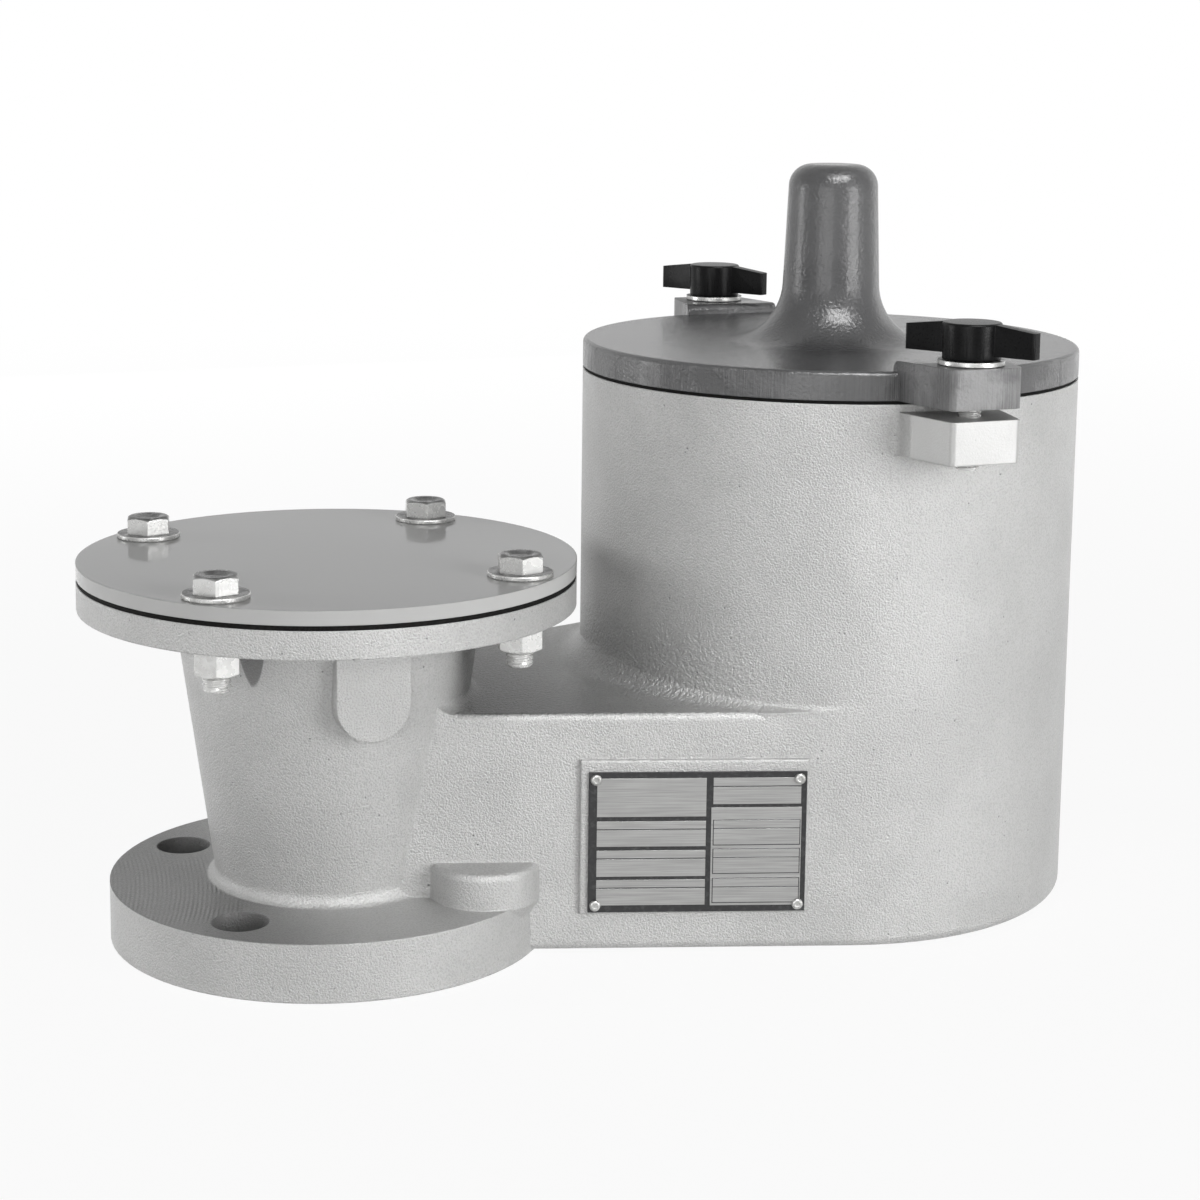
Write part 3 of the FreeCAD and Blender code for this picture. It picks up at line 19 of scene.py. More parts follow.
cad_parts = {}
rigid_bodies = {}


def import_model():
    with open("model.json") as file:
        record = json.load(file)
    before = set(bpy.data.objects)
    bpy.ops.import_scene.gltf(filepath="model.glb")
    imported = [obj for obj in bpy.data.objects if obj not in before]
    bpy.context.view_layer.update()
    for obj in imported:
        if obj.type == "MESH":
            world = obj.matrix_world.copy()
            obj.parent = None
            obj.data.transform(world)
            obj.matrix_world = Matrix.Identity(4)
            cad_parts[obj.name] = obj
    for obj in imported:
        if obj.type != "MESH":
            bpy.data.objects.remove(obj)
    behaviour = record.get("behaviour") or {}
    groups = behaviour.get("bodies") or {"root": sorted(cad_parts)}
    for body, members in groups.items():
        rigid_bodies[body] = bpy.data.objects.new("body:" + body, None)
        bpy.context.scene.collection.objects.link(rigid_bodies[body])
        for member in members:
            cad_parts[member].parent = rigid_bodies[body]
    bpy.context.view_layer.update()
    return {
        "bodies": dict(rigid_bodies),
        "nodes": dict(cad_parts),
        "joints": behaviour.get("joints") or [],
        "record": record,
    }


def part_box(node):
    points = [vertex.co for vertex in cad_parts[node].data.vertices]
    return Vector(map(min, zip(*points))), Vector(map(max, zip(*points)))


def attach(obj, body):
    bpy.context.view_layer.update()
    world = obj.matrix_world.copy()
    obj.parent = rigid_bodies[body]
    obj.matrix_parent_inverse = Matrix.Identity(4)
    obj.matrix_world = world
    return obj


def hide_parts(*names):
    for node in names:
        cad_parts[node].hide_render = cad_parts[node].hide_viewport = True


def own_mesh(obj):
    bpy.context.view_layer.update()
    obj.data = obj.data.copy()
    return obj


log = logging.getLogger("breather_valve")

Colour = tuple[float, float, float]
Point = tuple[float, float, float]
# Two lengths or shares, such as where a fade starts and where it ends.
Pair = tuple[float, float]
Socket = bpy.types.NodeSocket
Material = bpy.types.Material
Mesh = bpy.types.Mesh
Piece = bpy.types.Object

NECK_AXIS: Point = (0.0, 0.0, 0.0)
CHAMBER_AXIS: Point = (0.1905, 0.0, 0.0)
THREAD_PITCH = 0.0254 / 18
# How far apart the rings of a Wave texture lie at a scale of 1.
WAVE_SPACING = 0.31
# How many rows and sides a threaded rod has.
THREAD_ROWS, THREAD_SIDES = 420, 40
SHARP_ANGLE = math.radians(32)
FLAT_ANGLE = math.radians(0.4)
CHAMFER_ANGLE = math.radians(30)
ROUNDED_ANGLE = math.radians(38)
# How close two points of a mesh have to be to become one.
SAME_POINT, SAME_GRID_POINT, SAME_CAD_POINT = 1e-7, 1e-6, 2e-6


class Side(Enum):
    """The two sides of the valve that carry a lid screw."""

    FRONT = "front"
    REAR = "rear"


class NodeTree:
    """A node tree that is filled step by step."""

    def __init__(self, tree: bpy.types.NodeTree) -> None:
        """Take a tree and empty it."""
        self.tree = tree
        self.tree.nodes.clear()

    def add(self, kind: str, inputs: dict | None = None, **settings: object) -> bpy.types.Node:
        """Add a node, set its options and feed its inputs.

        Args:
            kind: The node's type.
            inputs: A value, a socket or a list of sockets for each named or numbered input.
            settings: Options of the node itself.

        Returns:
            The new node.
        """
        node = self.tree.nodes.new(kind)
        for option, choice in settings.items():
            setattr(node, option, choice)
        for key, value in (inputs or {}).items():
            for one in value if isinstance(value, list) else [value]:
                self.feed(node.inputs[key], one)
        return node

    def feed(self, socket: Socket, value: object) -> None:
        """Link a socket to another, or set its value.

        Args:
            socket: The input.
            value: An output to link, or a plain value.
        """
        if isinstance(value, Socket):
            self.tree.links.new(value, socket)
        elif isinstance(value, tuple) and socket.type == "RGBA":
            socket.default_value = (*value, 1.0)
        else:
            socket.default_value = value

    def calculate(self, operation: str, first: object, second: object = 0.0) -> Socket:
        """One step of arithmetic, named by its operation, on values or sockets."""
        return self.add("ShaderNodeMath", {0: first, 1: second}, operation=operation).outputs[0]

    def less(self, first: object, second: object) -> Socket:
        """One value or socket less another."""
        return self.calculate("SUBTRACT", first, second)

    def product(self, *factors: object) -> Socket:
        """Several values or sockets multiplied, from the first to the last."""
        return reduce(lambda so_far, one: self.calculate("MULTIPLY", so_far, one), factors)

    def blend(self, factor: object, first: object, second: object) -> Socket:
        """Two colours mixed: a factor of 0 gives the first and 1 the second."""
        colours = {0: factor, 6: first, 7: second}
        return self.add("ShaderNodeMix", colours, data_type="RGBA").outputs[2]

    def split(self, vector: Socket) -> bpy.types.NodeOutputs:
        """The X, Y and Z of a vector."""
        return self.add("ShaderNodeSeparateXYZ", {0: vector}).outputs

    def vector(self, x: object = 0.0, y: object = 0.0, z: object = 0.0) -> Socket:
        """A vector from three values or sockets."""
        return self.add("ShaderNodeCombineXYZ", {0: x, 1: y, 2: z}).outputs[0]

    def plainly_seen(self) -> Socket:
        """Tell what is seen, also in reflections and through glass, from other light.

        Returns:
            1 for camera, glossy and transmission rays and 0 for others.
        """
        path = self.add("ShaderNodeLightPath").outputs
        first = self.calculate("MAXIMUM", path["Is Camera Ray"], path["Is Glossy Ray"])
        return self.calculate("MAXIMUM", first, path["Is Transmission Ray"])


class ShaderTree(NodeTree):
    """The node tree of one material on the object's own coordinates."""

    def __init__(self, name: str) -> None:
        """Start an empty material.

        Args:
            name: The material's name.
        """
        self.material = bpy.data.materials.new(name)
        self.material.use_nodes = True
        super().__init__(self.material.node_tree)
        self.place = self.add("ShaderNodeTexCoord").outputs["Object"]

    def noise(self, size: float, detail: float = 2.0, place: Socket | None = None) -> Socket:
        """Soft random mottling from 0 to 1, in blotches of a size with finer layers."""
        inputs = {"Vector": place or self.place, "Scale": 1 / size, "Detail": detail}
        return self.add("ShaderNodeTexNoise", inputs).outputs[0]

    def pits(self, spacing: float, width: float) -> Socket:
        """Round pits, one to a cell, with a radius that is a share of the spacing."""
        cells = self.add("ShaderNodeTexVoronoi", {"Vector": self.place, "Scale": 1 / spacing})
        return self.ramp(cells.outputs["Distance"], width, 0.0)

    def ramp(self, value: Socket, low: float, high: float,
             bottom: float = 0.0, top: float = 1.0) -> Socket:
        """Map a range of a value onto another range, clamped and eased at both ends.

        Args:
            value: The value to map.
            low: Where the range starts.
            high: Where it ends.
            bottom: The result at the start.
            top: The result at the end.

        Returns:
            The mapped value.
        """
        node = self.add("ShaderNodeMapRange", {"Value": value, "From Min": low, "From Max": high,
                                               "To Min": bottom, "To Max": top},
                        interpolation_type="SMOOTHSTEP")
        return node.outputs[0]

    def between(self, share: Socket, first: float, second: float) -> Socket:
        """An eased value between two others: a share of 0 gives the first and 1 the second."""
        return self.ramp(share, 0.0, 1.0, first, second)

    def height(self) -> Socket:
        """How high a point lies."""
        return self.split(self.place)[2]

    def off_middle(self) -> Socket:
        """How far a point lies to either side of the upright plane through both axes."""
        return self.calculate("ABSOLUTE", self.split(self.place)[1])

    def facing_up(self) -> Socket:
        """1 on level upper faces and 0 on upright or lower ones."""
        normal = self.add("ShaderNodeNewGeometry").outputs["Normal"]
        return self.ramp(self.split(normal)[2], 0.80, 0.97)

    def moved(self, centre: Point = NECK_AXIS, turn: Point = (0.0, 0.0, 0.0),
              scale: Point = (1.0, 1.0, 1.0)) -> Socket:
        """The object's coordinates, centred on a point, turned and then scaled.

        Args:
            centre: The point that becomes the origin.
            turn: The rotation about each axis in radians.
            scale: The stretch along each turned axis.

        Returns:
            The new coordinates.
        """
        shift = tuple(-length for length in centre)
        centred = self.add("ShaderNodeMapping", {"Vector": self.place, "Location": shift})
        turned = self.add("ShaderNodeMapping", {"Vector": centred.outputs[0], "Rotation": turn})
        last = self.add("ShaderNodeMapping", {"Vector": turned.outputs[0], "Scale": scale})
        return last.outputs[0]

    def radius(self, centre: Point) -> Socket:
        """The distance from an upright axis.

        Args:
            centre: A point of the axis.

        Returns:
            The distance in metres.
        """
        sides = self.split(self.moved(centre))
        flat = self.vector(sides[0], sides[1])
        return self.add("ShaderNodeVectorMath", {0: flat}, operation="LENGTH").outputs["Value"]

    def bump(self, height: Socket, depth: float, under: Socket | None = None) -> Socket:
        """Turn a height from 0 to 1 into a bumpy normal.

        Args:
            height: The height.
            depth: How deep a height of 1 is.
            under: The normal that it lies on.

        Returns:
            The normal.
        """
        inputs = {"Height": height, "Distance": depth, "Strength": 1.0}
        if under is not None:
            inputs["Normal"] = under
        return self.add("ShaderNodeBump", inputs).outputs[0]

    def soft_edges(self, radius: float) -> Socket:
        """A normal that rolls over sharp edges with the given radius."""
        return self.add("ShaderNodeBevel", {"Radius": radius}, samples=6).outputs[0]

    def surface(self, **inputs: object) -> Material:
        """Close the tree with its surface shader.

        Args:
            inputs: Inputs of the shader, with underscores for spaces.

        Returns:
            The finished material.
        """
        named = {key.replace("_", " "): value for key, value in inputs.items()}
        shader = self.add("ShaderNodeBsdfPrincipled", named)
        self.add("ShaderNodeOutputMaterial", {"Surface": shader.outputs[0]})
        return self.material


@dataclass(frozen=True)
class SandCasting:
    """Cast aluminium, bead blasted and clear coated.

    The grain is finer on the lugs and coarser on the channel's top round the foot of the
    chamber. Tool marks ripple over the left part of the tank flange.
    """

    colour: Colour = (0.475, 0.475, 0.47)
    shade: Colour = (0.43, 0.43, 0.425)
    lug: Colour = (0.40, 0.40, 0.395)
    # Painted shade in the hollows of the grain.
    speck: Colour = (0.30, 0.30, 0.297)
    # The colour of the painted shade in the bolt holes, beside the neck and on the flange's left.
    dark: Colour = (0.14, 0.14, 0.138)
    # Painted shade in the pits.
    pit_shade_colour: Colour = (0.06, 0.06, 0.06)
    metal: float = 0.25
    roughness: float = 0.45
    grain: float = 0.00065
    grain_depth: float = 0.00052
    coarse: float = 0.0015
    coarse_depth: float = 0.00110
    swell: float = 0.020
    swell_depth: float = 0.00045
    pit_spacing: float = 0.0046
    pit_width: float = 0.115
    pit_depth: float = 0.00030
    pit_patch: float = 0.011
    cloud: float = 0.035
    round_off: float = 0.0008
    on_lug: Pair = (0.0940, 0.0970)
    flange_top: float = 0.0200
    off_flange: Pair = (0.0004, 0.0001)
    foot_floor: Pair = (0.0830, 0.0840)
    foot_top: Pair = (0.1180, 0.0940)
    foot_start: Pair = (0.028, 0.042)
    foot_end: Pair = (0.160, 0.100)
    # Where the painted shade fades out along the channel's top and the flange's top, and the bolt
    # hole (mirrored to both sides) whose wall carries painted shade.
    dark_deck: Pair = (0.130, 0.060)
    dark_flange: Pair = (0.000, -0.050)
    bolt_hole: Point = (-0.04266, 0.04266, 0.0)
    bolt_hole_radius: float = 0.0096
    ripple_pitch: float = 0.0015
    ripple_depth: float = 0.00028
    ripple_centre: Point = (-0.340, 0.060, 0.0)
    ripple_edge: Pair = (0.026, 0.046)
    ripple_patch: float = 0.012
    clear_coat: float = 0.12

    def on_flange(self, tree: ShaderTree) -> Socket:
        """Find the tank flange's upper face.

        Args:
            tree: The material's tree.

        Returns:
            1 on it and 0 elsewhere.
        """
        off_top = tree.calculate("ABSOLUTE", tree.less(tree.height(), self.flange_top))
        return tree.ramp(off_top, *self.off_flange)

    def ripple(self, tree: ShaderTree) -> Socket:
        """Curved tool marks on the left part of the tank flange's upper face.

        Args:
            tree: The material's tree.

        Returns:
            A height between 0 and 1.
        """
        centred = tree.moved(self.ripple_centre)
        inputs = {"Vector": centred, "Scale": WAVE_SPACING / self.ripple_pitch,
                  "Distortion": 1.5, "Detail Scale": 0.15}
        rings = tree.add("ShaderNodeTexWave", inputs, wave_type="RINGS", rings_direction="Z")
        near, far = self.ripple_edge
        sides = tree.split(tree.place)
        left = tree.ramp(sides[0], -near, -far)
        between = tree.ramp(tree.calculate("ABSOLUTE", sides[1]), far, near)
        patchy = tree.ramp(tree.noise(self.ripple_patch, 2.0), 0.35, 0.60, 0.25, 1.0)
        return tree.product(rings.outputs["Fac"], self.on_flange(tree), left, between, patchy)

    def rough_foot(self, tree: ShaderTree) -> Socket:
        """Where the skin is coarse: the channel's top and the foot of the chamber beside it.

        Args:
            tree: The material's tree.

        Returns:
            1 there and 0 elsewhere.
        """
        sides = tree.split(tree.place)
        above = tree.ramp(sides[2], *self.foot_floor)
        below = tree.ramp(sides[2], *self.foot_top)
        near = tree.ramp(sides[0], *self.foot_end)
        past_neck = tree.ramp(sides[0], *self.foot_start)
        return tree.product(above, below, near, past_neck)

    def painted_shade(self, tree: ShaderTree) -> Socket:
        """Painted shade: where the skin is painted darker because shade falls there, in the two
        bolt holes, beside the neck and on the flange's left.

        Args:
            tree: The material's tree.

        Returns:
            A value between 0 and 1.
        """
        along = tree.split(tree.place)[0]
        on_deck = tree.product(self.rough_foot(tree), tree.ramp(along, *self.dark_deck), 0.95)
        on_left = tree.product(self.on_flange(tree), tree.ramp(along, *self.dark_flange), 0.85)
        x, y, z = self.bolt_hole
        wall = self.bolt_hole_radius
        rear, front = (tree.ramp(tree.radius((x, side * y, z)), wall + 0.0003, wall, 0.0, 0.9)
                       for side in (1, -1))
        holes = tree.calculate("MAXIMUM", rear, front)
        return tree.calculate("MAXIMUM", holes, tree.calculate("ADD", on_deck, on_left))

    def material(self) -> Material:
        """Build the finish.

        Returns:
            The finished material.
        """
        tree = ShaderTree("sand_casting")
        grain = tree.noise(self.grain, 3.0)
        patches = tree.noise(self.cloud, 4.0)
        scattered = tree.ramp(tree.noise(self.pit_patch, 3.0), 0.46, 0.60)
        pits = tree.product(tree.pits(self.pit_spacing, self.pit_width), scattered)
        on_lug = tree.ramp(tree.off_middle(), *self.on_lug)
        strength = tree.between(on_lug, 1.0, 0.16)
        swollen = tree.bump(tree.noise(self.swell, 2.0), self.swell_depth,
                            tree.soft_edges(self.round_off))
        coarse = tree.product(tree.noise(self.coarse, 3.0), self.rough_foot(tree))
        heavy = tree.bump(coarse, self.coarse_depth, swollen)
        fine = tree.bump(tree.product(grain, strength), self.grain_depth, heavy)
        pitted = tree.bump(tree.product(pits, strength, -1.0), self.pit_depth, fine)
        marked = tree.bump(self.ripple(tree), self.ripple_depth, pitted)
        tone = tree.blend(tree.ramp(patches, 0.36, 0.64), self.shade, self.colour)
        # Painted shade in the hollows of the grain, weaker on the lugs.
        grain_hollow_shade = tree.product(tree.ramp(grain, 0.34, 0.58, 0.42, 0.0), strength)
        hollow_shaded_tone = tree.blend(grain_hollow_shade, tree.blend(on_lug, tone, self.lug), self.speck)
        # Painted shade darkens the bolt holes, the channel's top beside the neck and the flange's
        # left.
        with_painted_shade = tree.blend(self.painted_shade(tree), hollow_shaded_tone, self.dark)
        # Painted shade in the pits, weaker on the lugs.
        pit_shaded_tone = tree.blend(tree.product(pits, strength, 0.80), with_painted_shade, self.pit_shade_colour)
        rough = tree.ramp(grain, 0.3, 0.7, self.roughness + 0.06, self.roughness - 0.06)
        return tree.surface(Base_Color=pit_shaded_tone, Metallic=self.metal, Roughness=rough,
                            Normal=marked, Coat_Weight=self.clear_coat, Coat_Roughness=0.28)


@dataclass(frozen=True)
class CoverPaint:
    """Pale gloss paint, smooth enough to show the bolts in it."""

    colour: Colour = (0.46, 0.46, 0.455)
    worn: Colour = (0.48, 0.48, 0.475)
    # Painted shade: the upper face is painted darker than the rim.
    upper: Colour = (0.415, 0.415, 0.41)
    roughness: float = 0.07
    peel: float = 0.0035
    peel_depth: float = 0.000012
    cloud: float = 0.05
    speck: float = 0.0006
    edge: float = 0.0005

    def material(self) -> Material:
        """Build the finish.

        Returns:
            The finished material.
        """
        tree = ShaderTree("cover_paint")
        normal = tree.bump(tree.noise(self.peel, 2.0), self.peel_depth, tree.soft_edges(self.edge))
        clouds = tree.ramp(tree.noise(self.cloud, 3.0), 0.35, 0.65)
        tone = tree.blend(clouds, self.colour, self.worn)
        # Painted shade on the upper face.
        tone = tree.blend(tree.facing_up(), tone, self.upper)
        rough = tree.ramp(tree.noise(self.speck, 1.0), 0.3, 0.7, self.roughness - 0.03,
                          self.roughness + 0.04)
        return tree.surface(Base_Color=tone, Metallic=0.0, Roughness=rough, Normal=normal,
                            Specular_IOR_Level=0.22)


@dataclass(frozen=True)
class LidPaint:
    """Dark gloss paint over a casting; the rim and the ends of the lugs were milled upright."""

    colour: Colour = (0.074, 0.074, 0.076)
    worn: Colour = (0.095, 0.095, 0.097)
    bare: Colour = (0.185, 0.185, 0.185)
    roughness: float = 0.25
    grain: float = 0.0012
    grain_depth: float = 0.00034
    swell: float = 0.0045
    swell_depth: float = 0.00022
    cloud: float = 0.03
    rubbed_patch: float = 0.009
    worn_patch: float = 0.016
    round_off: float = 0.0007
    on_rim: Pair = (0.0896, 0.0902)
    on_lug: Pair = (0.0955, 0.0985)
    at_end: Pair = (0.1130, 0.1142)
    streak: float = 0.0005
    milled_depth: float = 0.00060

    def material(self) -> Material:
        """Build the finish.

        Returns:
            The finished material.
        """
        tree = ShaderTree("lid_paint")
        out = tree.off_middle()
        at_end = tree.ramp(out, *self.at_end)
        on_lug = tree.ramp(out, *self.on_lug)
        upright = tree.between(tree.facing_up(), 1.0, 0.0)
        on_rim = tree.product(tree.ramp(tree.radius(CHAMBER_AXIS), *self.on_rim), upright)
        lines = tree.noise(self.streak, 2.0, tree.moved(scale=(1.0, 1.0, 0.02)))
        worn_lines = tree.ramp(tree.noise(self.worn_patch, 2.0), 0.40, 0.60)
        milled = tree.product(lines, on_rim, worn_lines)
        normal = tree.bump(tree.noise(self.swell, 2.0), self.swell_depth,
                           tree.soft_edges(self.round_off))
        normal = tree.bump(tree.noise(self.grain, 3.0), self.grain_depth, normal)
        normal = tree.bump(milled, self.milled_depth, normal)
        cloud = tree.ramp(tree.noise(self.cloud, 3.0), 0.35, 0.65)
        painted = tree.blend(cloud, self.colour, self.worn)
        rubbed = tree.ramp(tree.noise(self.rubbed_patch, 4.0), 0.22, 0.52)
        scuffed = tree.product(on_lug, rubbed, tree.between(at_end, 0.45, 1.0))
        tone = tree.blend(tree.calculate("MAXIMUM", scuffed, tree.product(on_rim, 0.25)),
                          painted, self.bare)
        dark = tree.product(tree.ramp(lines, 0.42, 0.60), on_rim,
                            tree.between(worn_lines, 0.15, 0.70))
        lined = tree.blend(dark, tone, self.colour)
        rough = tree.between(on_lug, self.roughness, 0.40)
        return tree.surface(Base_Color=lined, Metallic=0.0, Roughness=rough, Normal=normal,
                            Specular_IOR_Level=0.34, Coat_Weight=0.14, Coat_Roughness=0.14)


@dataclass(frozen=True)
class ZincPlate:
    """Bright zinc plate with a little mottling, and painted shade on its upper faces, which are
    also less metallic.
    """

    name: str = "zinc_plate"
    colour: Colour = (0.69, 0.69, 0.68)
    dull: Colour = (0.57, 0.57, 0.56)
    # Painted shade on the upper faces.
    upper: Colour = (0.075, 0.075, 0.073)
    roughness: float = 0.24
    metal: float = 0.55
    cloud: float = 0.0030
    grain: float = 0.0005
    grain_depth: float = 0.00002
    edge: float = 0.0003

    def material(self) -> Material:
        """Build the finish.

        Returns:
            The finished material.
        """
        tree = ShaderTree(self.name)
        cloud = tree.noise(self.cloud, 3.0)
        fine = tree.noise(self.grain, 2.0)
        normal = tree.bump(fine, self.grain_depth, tree.soft_edges(self.edge))
        tone = tree.blend(tree.ramp(cloud, 0.3, 0.7), self.dull, self.colour)
        # The upper faces take the painted shade, a little patchy, and less metal.
        level = tree.product(tree.facing_up(), tree.ramp(cloud, 0.60, 0.40, 0.75, 1.0))
        shaded_tops = tree.blend(level, tone, self.upper)
        metal = tree.between(level, self.metal, 0.06)
        rough = tree.ramp(cloud, 0.3, 0.7, self.roughness + 0.10, self.roughness - 0.05)
        return tree.surface(Base_Color=shaded_tops, Metallic=metal, Roughness=rough, Normal=normal,
                            Specular_IOR_Level=0.2)


@dataclass(frozen=True)
class TurnedMetal:
    """Metal with the fine rings that a lathe tool leaves."""

    name: str
    colour: Colour
    roughness: float = 0.30
    groove: float = 0.0004
    groove_depth: float = 0.000012
    cloud: float = 0.006
    edge: float = 0.0003

    def material(self) -> Material:
        """Build the finish.

        Returns:
            The finished material.
        """
        tree = ShaderTree(self.name)
        marks = tree.calculate("FRACT", tree.product(tree.radius(CHAMBER_AXIS), 1 / self.groove))
        cloud = tree.noise(self.cloud, 3.0)
        normal = tree.bump(marks, self.groove_depth, tree.soft_edges(self.edge))
        stained = tuple(0.8 * part for part in self.colour)
        tone = tree.blend(tree.ramp(cloud, 0.35, 0.65), stained, self.colour)
        rough = tree.ramp(cloud, 0.3, 0.7, self.roughness + 0.06, self.roughness - 0.04)
        return tree.surface(Base_Color=tone, Metallic=1.0, Roughness=rough, Normal=normal)


@dataclass(frozen=True)
class BrushedPlate:
    """Sheet metal brushed along its length."""

    name: str = "brushed_plate"
    colour: Colour = (0.40, 0.40, 0.395)
    dark: Colour = (0.30, 0.30, 0.295)
    metal: float = 0.6
    roughness: float = 0.34
    lean: float = 0.0
    stroke: float = 0.00022
    stroke_depth: float = 0.00002
    cloud: float = 0.011
    edge: float = 0.0001

    def material(self) -> Material:
        """Build the finish.

        Returns:
            The finished material.
        """
        tree = ShaderTree(self.name)
        along = tree.moved(turn=(0.0, 0.0, self.lean), scale=(0.012, 1.0, 1.0))
        strokes = tree.noise(self.stroke, 3.0, along)
        cloud = tree.noise(self.cloud, 3.0)
        tone = tree.blend(tree.ramp(strokes, 0.35, 0.65), self.dark, self.colour)
        cloudy = tree.blend(tree.ramp(cloud, 0.4, 0.8, 0.0, 0.35), tone, self.dark)
        normal = tree.bump(strokes, self.stroke_depth, tree.soft_edges(self.edge))
        return tree.surface(Base_Color=cloudy, Metallic=self.metal, Roughness=self.roughness,
                            Normal=normal)


@dataclass(frozen=True)
class MottledFinish:
    """Two tones in soft clouds over a fine grain; sizes come with their number of layers."""

    name: str
    colour: Colour
    other: Colour
    cloud: Pair
    spread: Pair
    grain: Pair
    grain_depth: float
    roughness: float
    metal: float = 0.0
    specular: float = 0.5
    edge: float = 0.0
    rougher: float = 0.0

    def material(self) -> Material:
        """Build the finish.

        Returns:
            The finished material.
        """
        tree = ShaderTree(self.name)
        grain = tree.noise(*self.grain)
        tone = tree.blend(tree.ramp(tree.noise(*self.cloud), *self.spread), self.colour,
                          self.other)
        normal = tree.bump(grain, self.grain_depth,
                           tree.soft_edges(self.edge) if self.edge else None)
        rough = self.roughness
        if self.rougher:
            rough = tree.ramp(grain, 0.3, 0.7, rough, rough + self.rougher)
        return tree.surface(Base_Color=tone, Metallic=self.metal, Roughness=rough,
                            Normal=normal, Specular_IOR_Level=self.specular)


class Finishes:
    """Every material of the valve, each made once."""

    def __init__(self) -> None:
        """Make all the materials."""
        self.casting = SandCasting().material()
        self.cover = CoverPaint().material()
        self.lid = LidPaint().material()
        self.zinc = ZincPlate().material()
        # The third colour of washer_zinc is the painted shade on its upper faces; rivet_zinc keeps
        # the default one.
        self.washer_zinc = ZincPlate("washer_zinc", (0.62, 0.62, 0.61), (0.42, 0.42, 0.41),
                                     (0.030, 0.030, 0.029), roughness=0.26).material()
        self.rivet_zinc = ZincPlate("rivet_zinc", (0.50, 0.50, 0.49), (0.34, 0.34, 0.33),
                                    roughness=0.30).material()
        self.phenolic = MottledFinish(
            "moulded_phenolic", (0.0022, 0.0022, 0.0024), (0.0055, 0.0055, 0.0058),
            cloud=(0.009, 3.0), spread=(0.35, 0.65), grain=(0.0007, 3.0), grain_depth=0.00003,
            roughness=0.26, specular=0.10, edge=0.0004, rougher=0.10).material()
        self.elastomer = MottledFinish(
            "elastomer", (0.004, 0.004, 0.004), (0.011, 0.011, 0.010), cloud=(0.0008, 4.0),
            spread=(0.35, 0.7), grain=(0.0008, 4.0), grain_depth=0.00005, roughness=0.75,
            specular=0.08).material()
        self.plate = BrushedPlate(lean=Nameplate.lean()).material()
        self.border = MottledFinish(
            "black_border", (0.020, 0.020, 0.021), (0.045, 0.045, 0.046), cloud=(0.0016, 4.0),
            spread=(0.45, 0.75), grain=(0.0016, 4.0), grain_depth=0.00002, roughness=0.38,
            metal=0.2, edge=0.0001).material()
        self.screen = TurnedMetal("screen_sheet", (0.55, 0.55, 0.54), 0.36, 0.003).material()
        self.stainless = TurnedMetal("turned_stainless", (0.60, 0.60, 0.585)).material()
        self.bronze = TurnedMetal("turned_bronze", (0.56, 0.40, 0.18)).material()
        self.iron = MottledFinish(
            "oxide_iron", (0.050, 0.049, 0.048), (0.110, 0.107, 0.104), cloud=(0.014, 3.0),
            spread=(0.4, 0.7), grain=(0.0012, 4.0), grain_depth=0.00008, roughness=0.48,
            metal=0.7, edge=0.0004).material()
        self.film = MottledFinish(
            "seal_film", (0.62, 0.61, 0.57), (0.52, 0.51, 0.47), cloud=(0.008, 3.0),
            spread=(0.4, 0.7), grain=(0.0015, 2.0), grain_depth=0.00004, roughness=0.35,
            edge=0.0003).material()


def placed_object(name: str, data: object) -> Piece:
    """A new object with its data, linked to the scene.

    Args:
        name: The object's name.
        data: Its mesh, lamp or camera.

    Returns:
        The object.
    """
    thing = bpy.data.objects.new(name, data)
    bpy.context.scene.collection.objects.link(thing)
    return thing


def settled_mesh(holder: Piece) -> Mesh:
    """Turn what an object's modifier gives into a plain mesh and remove the object.

    Args:
        holder: The object with its modifier.

    Returns:
        The plain mesh.
    """
    graph = bpy.context.evaluated_depsgraph_get()
    mesh = bpy.data.meshes.new_from_object(holder.evaluated_get(graph))
    bpy.data.objects.remove(holder)
    return mesh


